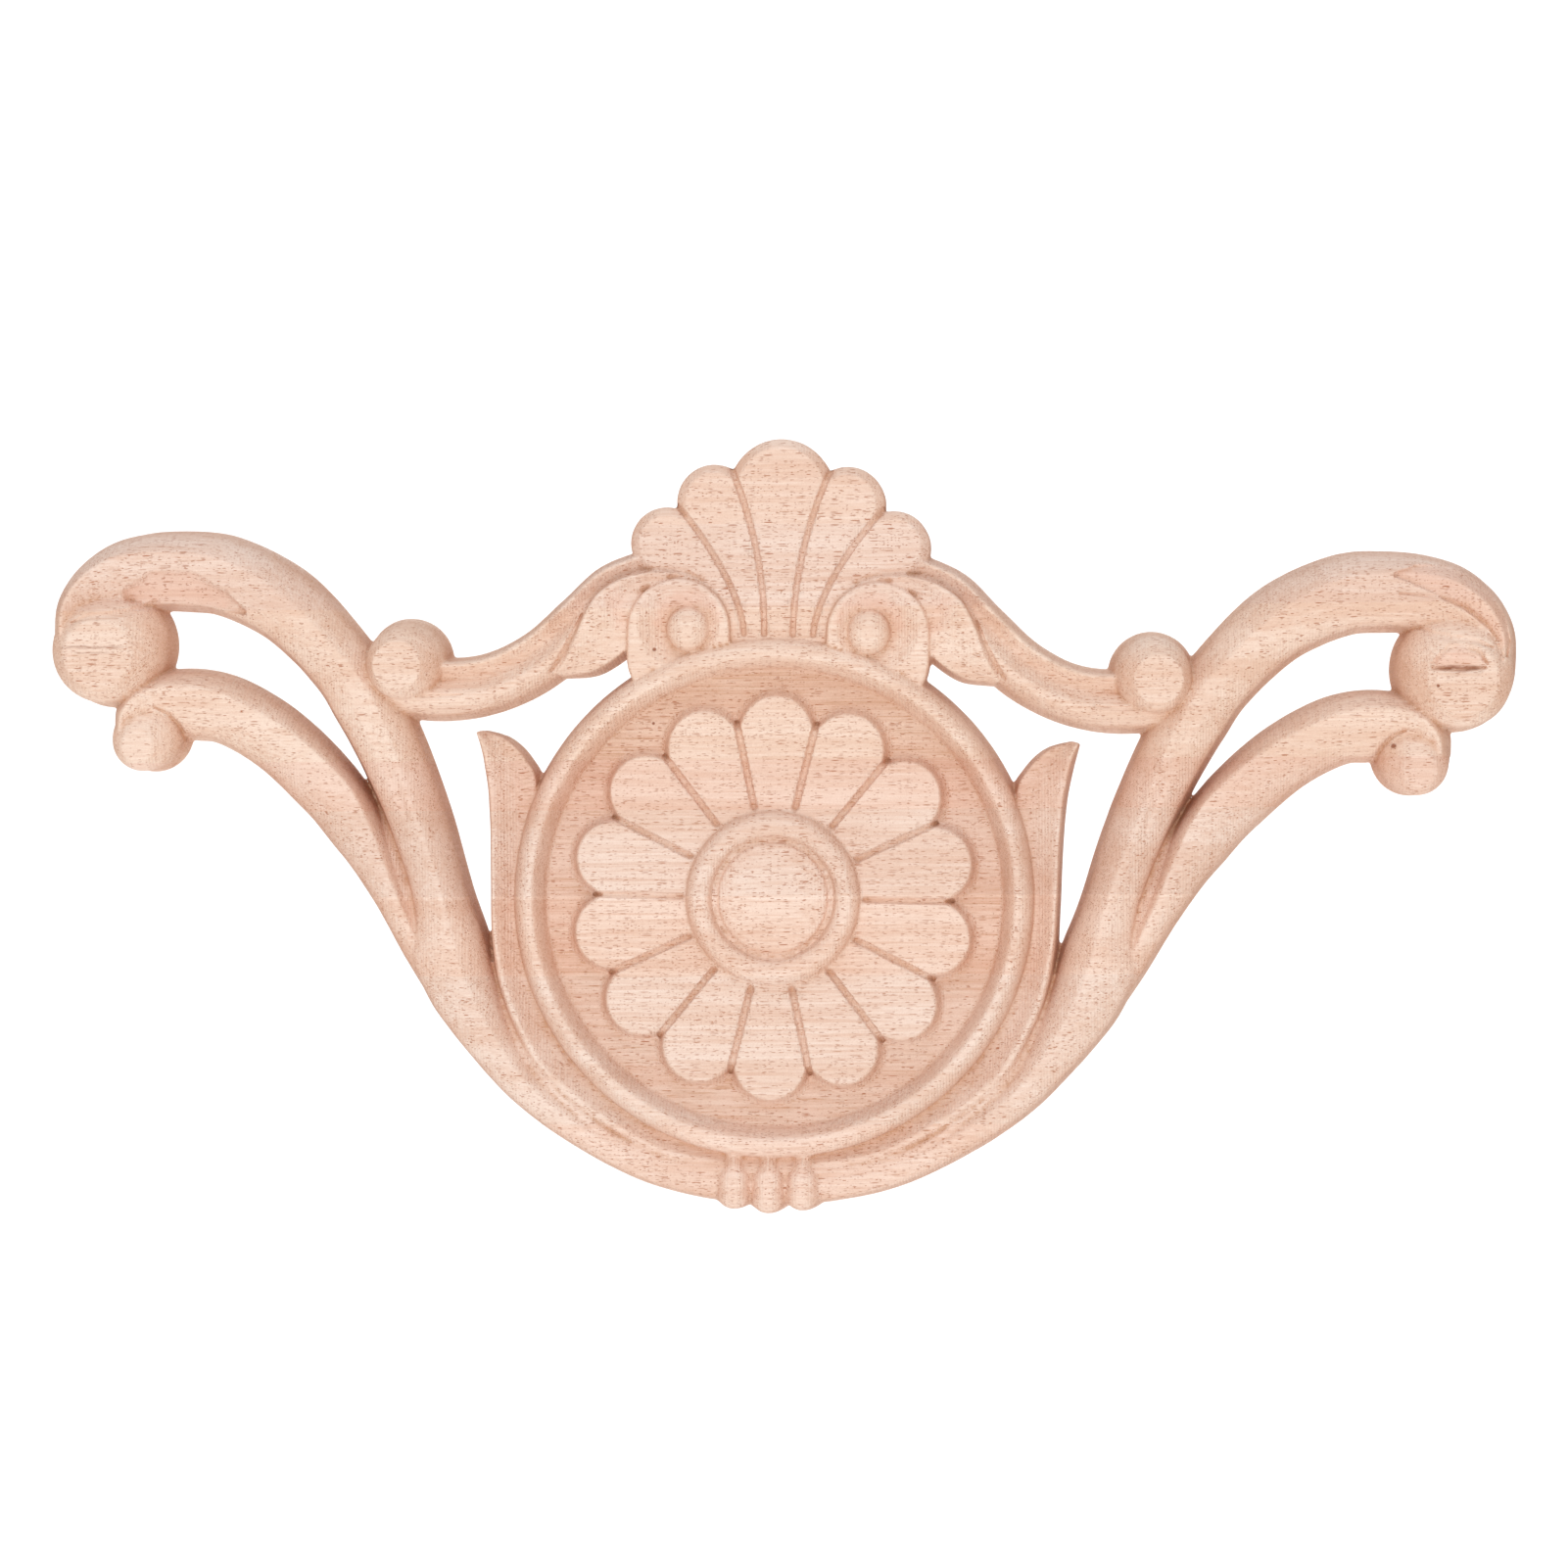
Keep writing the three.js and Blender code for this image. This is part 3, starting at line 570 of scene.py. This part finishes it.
# Where the two halves differ: a scooped hollow on the left, a flat sickle cut on the right
leftStrokes = [
    ([(-176.5, 79), (-170, 81), (-161, 81), (-152, 78), (-146, 75)], (5, 9.4, 10, 6, 2), 1.9, 3),
]
rightStrokes = [
    ([(166, 90.2), (172, 90.2), (178, 89), (184, 86.2), (189, 82.6), (193, 78), (195.4, 73), (195.4, 69)],
     (1.6, 6, 8.6, 9, 8, 6, 3.4, 1.6), 1.3, 8),
    ([(167, 85.3), (178, 84.4), (185, 81.7), (190, 77.6), (193.4, 72.4), (194.6, 67.6)],
     (0.8, 1.8, 1.8, 1.2), 0.7, 2),
    ([(190.4, 66.8), (188.4, 69.8), (184, 71.4), (179.6, 70.6), (176, 66.6)], (0.8, 1.8, 1.8, 1.2), 0.8, 2),
    ([(190, 65.6), (184, 65.0), (176, 65.4)], (0.8, 1.8, 1.4), 1.1, 2),
]
# Pinker wood in the fresh cuts, and painted shade beside the leaf roots and in the dishes above the eyes: path,
# width, strength
stainAndShadeStrokes = [
    ([(-176.5, 79), (-170, 81), (-161, 81), (-152, 78)], (5, 9.4, 10, 5), 0.8),
    ([(166, 90.2), (172, 90.2), (178, 89), (184, 86.2), (189, 82.6), (193, 78), (195.4, 73)],
     (2, 7, 9.6, 10, 9, 7, 4), 0.8),
    ([(189, 67.4), (183, 68.4), (177.5, 67)], (2.4, 6.4, 3), 1.2),
    # painted shade where the leaf falls towards the volute
    ([(44.5, 80), (42.5, 74)], (7, 5), 0.6), ([(-44.5, 80), (-42.5, 74)], (7, 5), 0.6),
    # painted shade in the dish above each eye
    ([(16.2, 75.4), (18.4, 79), (22.4, 80.8), (27, 80.5), (31, 78), (32.8, 74)],
     (3, 4.6, 5.4, 5.8, 5.4, 3), 0.75),
    ([(-16.2, 75.4), (-18.4, 79), (-22.4, 80.8), (-27, 80.5), (-31, 78), (-32.8, 74)],
     (3, 4.6, 5.4, 5.8, 5.4, 3), 0.75),
]

print("Easing the seams")
coords = readVertices(carving, "co")
seams = carving.vertex_groups.new(name="seams")
for side in (-1, 1):
    seam = [place(angle, gap + ridge) for angle, gap, _, ridge, _ in web[2:]]
    near, _ = nearTo(coords, coords[:, 2] > 6, [(side * x, y) for x, y in seam], 5.0)
    seams.add(near.tolist(), 1.0, "REPLACE")
useModifier(carving, "SMOOTH", factor=0.5, iterations=board["easing"], vertex_group="seams")
carving.vertex_groups.clear()

print("Cutting the grooves")
coords = readVertices(carving, "co")
facing = (readVertices(carving, "normal")[:, 2] > 0.15) & (coords[:, 2] > 6)
for i in range(rosette["petals"]):
    turn = pi / 2 + pi / rosette["petals"] * (2 * i + 1)
    way = np.array([cos(turn), sin(turn)])
    start, stop = rosette["grooveStart"], rosette["notch"] - rosette["grooveStop"]
    gouge(coords, facing, [way * start, way * stop], rosette["grooveWidth"], rosette["grooveDepth"], 5)
    gouge(coords, facing, [way * (start - 0.2), way * (start + 0.4)], 2.6, 0.25, 4)
for radius, width, depth in hub["lines"]:
    gouge(coords, facing, ringPath(radius), width, depth)
for side in (-1, 1):
    for foot, head, bend in shell["grooves"]:
        path = [(side * (foot[0] + (head[0] - foot[0]) * (s / 24) ** bend),
                 ring["outer"] + foot[1] + (head[1] - foot[1]) * s / 24) for s in range(25)]
        gouge(coords, facing, path, shell["grooveWidth"], shell["grooveDepth"], 5)
    for path, width, depth, power in bothStrokes:
        gouge(coords, facing, [(side * x, y) for x, y in path], width, depth, power)
    # the cutter's steps down the side of the big ball
    for i in range(9):
        step = [(side * (176 + 0.4 * (i % 3)), 53 + 1.9 * i), (side * 169.6, 52 + 1.9 * i)]
        gouge(coords, facing, step, 1.2, 0.3)
for path, width, depth, power in leftStrokes + rightStrokes:
    gouge(coords, facing, path, width, depth, power)
carving.data.vertices.foreach_set("co", coords.ravel())
carving.data.update()

print("Easing the surface")
clouds = bpy.data.textures.new("unevenness", "CLOUDS")
clouds.noise_scale = 9
useModifier(carving, "DISPLACE", texture=clouds, strength=board["unevenness"], mid_level=0.5,
            texture_coords="LOCAL")
faces = sum(len(face.vertices) - 2 for face in carving.data.polygons)
useModifier(carving, "DECIMATE", ratio=board["triangles"] / faces, use_collapse_triangulate=True)
print("thinned to", len(carving.data.polygons))


def planeBack(form):
    pick(form)
    bpy.ops.object.mode_set(mode="EDIT")
    bpy.ops.mesh.select_all(action="SELECT")
    bpy.ops.mesh.bisect(plane_co=(0, 0, 0), plane_no=(0, 0, 1), use_fill=True, clear_inner=True)
    bpy.ops.mesh.select_all(action="SELECT")
    bpy.ops.mesh.quads_convert_to_tris()
    bpy.ops.object.mode_set(mode="OBJECT")


def standUp(form):
    form.data.transform(Matrix.Rotation(pi / 2, 4, "X") @ Matrix.Diagonal((mm, mm, mm, 1)))
    form.data.update()


# Pinker fresh cuts and painted shade, kept with the mesh
def markStainAndShade(form):
    coords = readVertices(form, "co")
    stainAndShade = np.zeros(len(coords))
    for path, width, strength in stainAndShadeStrokes:
        near, nearest = nearTo(coords, coords[:, 2] > 6, path, width)
        stainAndShade[near] = np.maximum(stainAndShade[near], strength * np.clip(1 - nearest ** 3, 0, 1))
    form.data.attributes.new("stainAndShade", "FLOAT", "POINT").data.foreach_set("value", stainAndShade.astype(np.float32))


planeBack(carving)
markStainAndShade(carving)
standUp(carving)
pick(carving)
bpy.ops.object.shade_smooth_by_angle(angle=radians(50))

# Wood
woodLook = {
    "pale": (0.885, 0.71, 0.605, 1),      # sapwood, between the darker streaks
    "warm": (0.79, 0.56, 0.44, 1),
    "pore": (0.42, 0.115, 0.03, 1),        # open pores, cut along the grain
    "crease": (0.56, 0.29, 0.155, 1),     # brown of the grain and cutter lines, also painted shade in the creases
    "endGrain": (0.88, 0.74, 0.66, 1),    # tint where the grain ends at the surface
    "figure": (0.72, 0.46, 0.34, 1),
    "lowGroundToneAndShade": (0.92, 0.855, 0.82, 1),  # tint of the low ground: its rougher, browner wood and painted shade in the recess
    "speckle": (0.80, 0.70, 0.65, 1),     # tint of what sanding leaves
    "edgeHighlight": (0.93, 0.73, 0.58, 1),      # painted highlight on the convex edges
    "grainSlope": 1.4,                    # degrees, down to the right
    "streakAcross": 1.1,                  # streaks to the millimetre
    # pores: length, width and how common, in millimetres
    "pores": ((2.2, 0.40, 0.50), (4.8, 0.56, 0.30), (1.0, 0.42, 0.20)),
    # pink of the fresh cuts, also used for painted shade
    "stainAndShade": (0.83, 0.50, 0.38, 1),
    "fault": (0.27, 0.07, 0.022, 1),
    # hair cracks: from x, to x, height, width in millimetres, and how dark
    "cracks": ((-196, -176, 64.4, 0.6, 0.55), (-192, -180, 62.8, 0.4, 0.4), (176, 190, 65.4, 0.9, 0.95)),
    # pin holes and specks: x, height, radius, in millimetres
    "specks": ((-33.7, 46.7, 0.55), (-33.5, 66.7, 0.7), (166.3, 44.3, 0.9), (177.5, 60.5, 0.6)),
    "cutterStep": 0.8,
    "roughness": 0.72,
}


def wire(tree, node, **inputs):
    for name, value in inputs.items():
        socket = node.inputs[int(name[2:])] if name.startswith("in") and name[2:].isdigit() else node.inputs[name]
        if isinstance(value, bpy.types.NodeSocket):
            tree.links.new(value, socket)
        else:
            socket.default_value = value
    return node


def math(tree, kind, a, b=0.0, c=0.0, clamp=False):
    node = tree.nodes.new("ShaderNodeMath")
    node.operation = kind
    node.use_clamp = clamp
    return wire(tree, node, in0=a, in1=b, in2=c).outputs[0]


def mixColours(tree, share, one, other, kind="MIX"):
    node = tree.nodes.new("ShaderNodeMix")
    node.data_type = "RGBA"
    node.blend_type = kind
    return wire(tree, node, in0=share, in6=one, in7=other).outputs[2]


def ramp(tree, value, low, high, bottom=0.0, top=1.0, smooth=False):
    node = tree.nodes.new("ShaderNodeMapRange")
    if smooth:
        node.interpolation_type = "SMOOTHSTEP"
    return wire(tree, node, in0=value, in1=low, in2=high, in3=bottom, in4=top).outputs[0]


def stretched(tree, source, scale, turn=(0, 0, 0), shift=(0, 0, 0)):
    return wire(tree, tree.nodes.new("ShaderNodeMapping"), in0=source, in1=shift, in2=turn, in3=scale).outputs[0]


def noise(tree, source, scale, detail=2.0, rough=0.5):
    node = tree.nodes.new("ShaderNodeTexNoise")
    return wire(tree, node, Vector=source, Scale=scale, Detail=detail, Roughness=rough).outputs[0]


# Long cells of which some hold a dark pore
def poreLayer(tree, grain, length, width, common, shift):
    cells = tree.nodes.new("ShaderNodeTexVoronoi")
    long = stretched(tree, grain, (1 / length, 1 / width, 1 / width), shift=shift)
    wire(tree, cells, Vector=long, Scale=1.0, Randomness=1.0)
    chance = wire(tree, tree.nodes.new("ShaderNodeSeparateColor"), in0=cells.outputs["Color"])
    crowd = noise(tree, stretched(tree, grain, (0.03, 0.07, 0.07), shift=shift), 1.0, 2.0)
    chances = math(tree, "ADD", chance.outputs[0], math(tree, "MULTIPLY", crowd, 1.6))
    held = math(tree, "GREATER_THAN", chances, 1.8 - common)
    dash = ramp(tree, cells.outputs["Distance"], 0.20, 0.33, 1.0, 0.0, True)
    darkness = ramp(tree, chance.outputs[1], 0, 1, 0.35, 1.0)
    return math(tree, "MULTIPLY", dash, math(tree, "MULTIPLY", held, darkness))


def rawWood(look):
    material = bpy.data.materials.new("rawWood")
    material.use_nodes = True
    tree = material.node_tree
    shader = tree.nodes["Principled BSDF"]
    coords = tree.nodes.new("ShaderNodeTexCoord")
    grain = stretched(tree, coords.outputs["Object"], (1000, 1000, 1000), (0, radians(look["grainSlope"]), 0))
    parts = wire(tree, tree.nodes.new("ShaderNodeSeparateXYZ"), in0=grain)
    height = parts.outputs[2]
    slant = wire(tree, tree.nodes.new("ShaderNodeSeparateXYZ"), in0=coords.outputs["Normal"])
    endways = math(tree, "ABSOLUTE", slant.outputs[0])
    upright = ramp(tree, math(tree, "ABSOLUTE", slant.outputs[1]), 0.15, 0.6, 1.0, 0.0)

    # broad bands of growth, then fine streaks
    bands = noise(tree, stretched(tree, grain, (0.006, 0.09, 0.09)), 1.0, 3.0)
    across = look["streakAcross"]
    streaks = noise(tree, stretched(tree, grain, (0.035, across, across)), 1.0, 3.0, 0.6)
    fibres = noise(tree, stretched(tree, grain, (0.12, 3 * across, 3 * across)), 1.0, 2.0, 0.6)
    tone = math(tree, "ADD", math(tree, "MULTIPLY", bands, 0.9), math(tree, "MULTIPLY", streaks, 0.65))
    tone = ramp(tree, math(tree, "ADD", tone, math(tree, "MULTIPLY", fibres, 0.4)), 0.85, 1.14)
    colour = mixColours(tree, tone, look["pale"], look["warm"])
    # here and there the figure of the wood shows as long thin lines
    figure = noise(tree, stretched(tree, grain, (0.03, 1.7, 1.7), shift=(2, 6, 8)), 1.0, 2.0, 0.6)
    patches = noise(tree, stretched(tree, grain, (0.012, 0.05, 0.05), shift=(5, 1, 3)), 1.0, 2.0)
    figure = math(tree, "MULTIPLY", ramp(tree, figure, 0.5, 0.66), ramp(tree, patches, 0.4, 0.6, 0.15, 0.55))
    colour = mixColours(tree, figure, colour, look["figure"])

    # the board is glued up from strips, each of its own tone
    strips = tree.nodes.new("ShaderNodeValToRGB")
    strips.color_ramp.interpolation = "CONSTANT"
    strips.color_ramp.elements.remove(strips.color_ramp.elements[1])
    bottom, top = -100, 130
    for i, (level, tint) in enumerate(stripTints):
        at = (level - bottom) / (top - bottom)
        element = strips.color_ramp.elements.new(at) if i else strips.color_ramp.elements[0]
        element.position = at
        element.color = (*tint, 1)
    wire(tree, strips, Fac=ramp(tree, height, bottom, top))
    colour = mixColours(tree, 1.0, colour, strips.outputs[0], "MULTIPLY")

    # the low ground is darker: rougher and browner than the sanded faces, and painted shade in the recess
    depth = wire(tree, tree.nodes.new("ShaderNodeSeparateXYZ"), in0=coords.outputs["Object"]).outputs[1]
    low = ramp(tree, depth, -0.0115, -0.0075, 0.0, 1.0, True)
    colour = mixColours(tree, low, colour, look["lowGroundToneAndShade"], "MULTIPLY")

    # pinker fresh cuts, and painted shade beside the leaf roots and in the dishes
    stainAndShadeNode = tree.nodes.new("ShaderNodeAttribute")
    stainAndShadeNode.attribute_name = "stainAndShade"
    colour = mixColours(tree, math(tree, "MULTIPLY", stainAndShadeNode.outputs["Fac"], 0.42), colour, look["stainAndShade"])

    # pores: short dashes along the grain, dots where it ends
    pore = 0.0
    for i, (length, width, common) in enumerate(look["pores"]):
        layer = poreLayer(tree, grain, length, width, common, (3.1 * i, 1.7 * i, 2.3 * i))
        pore = math(tree, "MAXIMUM", pore, layer)
    colour = mixColours(tree, math(tree, "MULTIPLY", pore, 0.85), colour, look["pore"])
    # in the low ground the grain shows as long brown lines
    lining = noise(tree, stretched(tree, grain, (0.05, 2.2, 2.2), shift=(4, 9, 2)), 1.0, 3.0, 0.7)
    lining = math(tree, "MULTIPLY", ramp(tree, lining, 0.54, 0.66), ramp(tree, low, 0, 1, 0.12, 0.6))
    colour = mixColours(tree, lining, colour, look["crease"])

    faults = 0.0
    slope = radians(look["grainSlope"])
    wobble = noise(tree, stretched(tree, grain, (0.25, 0.5, 0.5)), 1.0, 2.0)
    for x0, x1, z, width, dark in look["cracks"]:
        level = z * cos(slope) - (x0 + x1) / 2 * sin(slope)
        away = math(tree, "ABSOLUTE", math(tree, "ADD", math(tree, "SUBTRACT", height, level),
                                           math(tree, "MULTIPLY", math(tree, "SUBTRACT", wobble, 0.5), 2.0)))
        middle = (x0 + x1) / 2 * cos(slope) + z * sin(slope)
        beside = math(tree, "ABSOLUTE", math(tree, "SUBTRACT", parts.outputs[0], middle))
        line = math(tree, "MULTIPLY", ramp(tree, away, 0, width, dark, 0.0),
                    ramp(tree, beside, (x1 - x0) * 0.3, (x1 - x0) * 0.5, 1.0, 0.0))
        faults = math(tree, "MAXIMUM", faults, line)
    flat = stretched(tree, coords.outputs["Object"], (1000, 0, 1000))
    for x, z, radius in look["specks"]:
        apart = tree.nodes.new("ShaderNodeVectorMath")
        apart.operation = "DISTANCE"
        wire(tree, apart, in0=flat, in1=(x, 0, z))
        dot = ramp(tree, apart.outputs["Value"], radius * 0.4, radius, 1.0, 0.0, True)
        faults = math(tree, "MAXIMUM", faults, dot)
    colour = mixColours(tree, math(tree, "MULTIPLY", faults, 0.85), colour, look["fault"])

    # end grain drinks the light; the upright walls keep the cutter's lines
    colour = mixColours(tree, ramp(tree, endways, 0.35, 1.0, 0.0, 0.9), colour, look["endGrain"], "MULTIPLY")
    lines = noise(tree, stretched(tree, grain, (1.5, 0.06, 1.5)), 1.0, 2.0, 0.5)
    marks = math(tree, "MULTIPLY", upright, ramp(tree, lines, 0.52, 0.64))
    colour = mixColours(tree, math(tree, "MULTIPLY", marks, 0.22), colour, look["crease"])

    # slopes across the grain keep the fine upright lines of the milling cutter
    hatch = math(tree, "SINE", math(tree, "MULTIPLY", parts.outputs[0], 2 * pi / look["cutterStep"]))
    sloping = math(tree, "MULTIPLY", ramp(tree, endways, 0.12, 0.32), ramp(tree, endways, 0.5, 0.8, 1.0, 0.0))
    hatch = math(tree, "MULTIPLY", hatch, sloping)
    colour = mixColours(tree, math(tree, "MULTIPLY", ramp(tree, hatch, 0, 1), 0.10), colour, look["crease"])

    # sanding leaves a fine speckle all over
    speckle = noise(tree, stretched(tree, grain, (2.2, 2.6, 2.6)), 1.0, 2.0, 0.7)
    colour = mixColours(tree, ramp(tree, speckle, 0.42, 0.66, 0.0, 0.30), colour, look["speckle"], "MULTIPLY")

    # painted shade in the creases and a painted highlight on the edges, from how the surface bends
    bendAttr = tree.nodes.new("ShaderNodeAttribute")
    bendAttr.attribute_name = "hollows"
    broken = ramp(tree, speckle, 0.35, 0.6, 0.45, 1.0)
    deep = math(tree, "MULTIPLY", ramp(tree, bendAttr.outputs["Fac"], 0.47, 0.12), broken)
    high = ramp(tree, bendAttr.outputs["Fac"], 0.56, 0.80)
    # painted shade in the creases
    colour = mixColours(tree, math(tree, "MULTIPLY", deep, 0.75), colour, look["crease"])
    # painted highlight on the convex edges
    colour = mixColours(tree, math(tree, "MULTIPLY", high, 0.22), colour, look["edgeHighlight"])
    wire(tree, shader, **{"Base Color": colour})

    shader.inputs["Roughness"].default_value = look["roughness"]
    shader.inputs["Specular IOR Level"].default_value = 0.25
    relief = math(tree, "ADD", math(tree, "MULTIPLY", pore, -0.5), math(tree, "MULTIPLY", fibres, 0.35))
    relief = math(tree, "ADD", relief, math(tree, "MULTIPLY", math(tree, "MULTIPLY", lines, upright), 0.9))
    relief = math(tree, "ADD", relief, math(tree, "MULTIPLY", speckle, 0.35))
    relief = math(tree, "ADD", relief, math(tree, "MULTIPLY", hatch, 0.25))
    relief = math(tree, "SUBTRACT", relief, faults)
    bump = wire(tree, tree.nodes.new("ShaderNodeBump"), Strength=0.6, Distance=0.0003, Height=relief)
    wire(tree, shader, Normal=bump.outputs[0])
    return material


# Where each glued strip begins, from the foot up, and its tint
stripTints = [
    (-100, (1.01, 0.985, 0.975)), (-62, (0.985, 0.985, 0.985)), (-21, (1.0, 0.965, 0.94)),
    (-0.5, (1.05, 1.06, 1.06)), (0.5, (0.98, 0.97, 0.965)), (23.5, (0.985, 0.92, 0.89)),
    (36.8, (1.015, 1.0, 0.97)), (78, (0.985, 0.975, 0.975)), (101, (1.01, 0.99, 0.97)),
]


# How hollow each place is, from 0 in a crease to 1 on an edge, kept with the mesh
def markHollows(form):
    mesh = bmesh.new()
    mesh.from_mesh(form.data)
    mesh.verts.ensure_lookup_table()
    count = len(mesh.verts)
    places = np.array([corner.co for corner in mesh.verts])
    normals = np.array([corner.normal for corner in mesh.verts])
    ends = np.array([(edge.verts[0].index, edge.verts[1].index) for edge in mesh.edges])
    mesh.free()
    span = places[ends[:, 1]] - places[ends[:, 0]]
    apart = np.maximum(np.linalg.norm(span, axis=1), 1e-7)
    bend = ((normals[ends[:, 1]] - normals[ends[:, 0]]) * span).sum(axis=1) / apart
    total, share = np.zeros(count), np.zeros(count)
    for end in (0, 1):
        np.add.at(total, ends[:, end], bend)
        np.add.at(share, ends[:, end], apart)
    curve = total / np.maximum(share, 1e-9) * mm
    for _ in range(2):
        spread, near = curve.copy(), np.ones(count)
        for a, b in ((0, 1), (1, 0)):
            np.add.at(spread, ends[:, a], curve[ends[:, b]])
            np.add.at(near, ends[:, a], 1)
        curve = spread / near
    hollows = np.clip(0.5 + curve * 0.6, 0, 1)
    form.data.attributes.new("hollows", "FLOAT", "POINT").data.foreach_set("value", hollows.astype(np.float32))


markHollows(carving)
wood = rawWood(woodLook)
carving.data.materials.clear()
carving.data.materials.append(wood)
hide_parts("applique")
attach(carving, "root")

print("Setting the stage")
view = {"distance": 1.45, "yaw": 3.2, "roll": 1.1, "aim": (0.0017, 0.0, 0.0309), "frame": 0.4281}
backdrop = {"halfWidth": 4, "near": -5, "far": 2.4, "level": -0.9, "curve": 0.8, "wall": 3, "tone": 0.95}
bpy.ops.mesh.primitive_plane_add(size=1)
floor = bpy.context.object
floor.name = "paleFloor"
bpy.ops.object.mode_set(mode="EDIT")
mesh = bmesh.from_edit_mesh(floor.data)
mesh.verts.ensure_lookup_table()
for corner in mesh.verts:
    across = 2 * corner.co.x * backdrop["halfWidth"]
    corner.co = (across, backdrop["near"] if corner.co.y < 0 else backdrop["far"], backdrop["level"])
for corner in mesh.verts:
    corner.select = corner.co.y > 0
mesh.select_flush_mode()
bmesh.update_edit_mesh(floor.data)
for step in range(1, 13):
    turn, before = pi / 2 * step / 12, pi / 2 * (step - 1) / 12
    back, up = backdrop["curve"] * (sin(turn) - sin(before)), backdrop["curve"] * (cos(before) - cos(turn))
    bpy.ops.mesh.extrude_region_move(TRANSFORM_OT_translate={"value": (0, back, up)})
bpy.ops.mesh.extrude_region_move(TRANSFORM_OT_translate={"value": (0, 0, backdrop["wall"])})
bpy.ops.object.mode_set(mode="OBJECT")
bpy.ops.object.shade_smooth()
pale = bpy.data.materials.new("palePaper")
pale.use_nodes = True
paper = pale.node_tree.nodes["Principled BSDF"]
paper.inputs["Base Color"].default_value = (backdrop["tone"], backdrop["tone"], backdrop["tone"], 1)
paper.inputs["Roughness"].default_value = 0.9
floor.data.materials.append(pale)


def aimAt(item, target):
    item.rotation_euler = (Vector(target) - item.location).to_track_quat("-Z", "Y").to_euler()


def softLight(name, at, target, size, power, tint):
    bpy.ops.object.light_add(type="AREA", location=at)
    light = bpy.context.object
    light.name = name
    light.data.shape = "DISK"
    light.data.size = size
    light.data.energy = power
    light.data.color = tint
    light.visible_camera = False
    aimAt(light, target)
    return light


softLight("frontLow", (0.0, -1.5, -0.55), (0, 0, 0.03), 0.6, 7.7, (1.0, 0.98, 0.96))
softLight("above", (0, -0.9, 1.4), (0, 0, 0.03), 0.8, 4.4, (0.86, 0.88, 1.0))
softLight("onBackdrop", (0, 0.9, 1.8), (0, 3.2, 0.6), 1.6, 42, (1, 1, 1))
world = bpy.context.scene.world or bpy.data.worlds.new("studio")
bpy.context.scene.world = world
world.use_nodes = True
world.node_tree.nodes["Background"].inputs[0].default_value = (1, 1, 1, 1)
world.node_tree.nodes["Background"].inputs[1].default_value = 0.75

yaw = radians(view["yaw"])
aim = Vector(view["aim"])
bpy.ops.object.camera_add(location=aim + view["distance"] * Vector((sin(yaw), -cos(yaw), 0)))
camera = bpy.context.object
camera.data.sensor_width = 36
camera.data.lens = 36 * view["distance"] / view["frame"]
turned = (aim - camera.location).to_track_quat("-Z", "Y").to_matrix().to_4x4()
camera.rotation_euler = (turned @ Matrix.Rotation(radians(view["roll"]), 4, "Z")).to_euler()
bpy.context.scene.camera = camera
bpy.context.scene.view_settings.view_transform = "Standard"
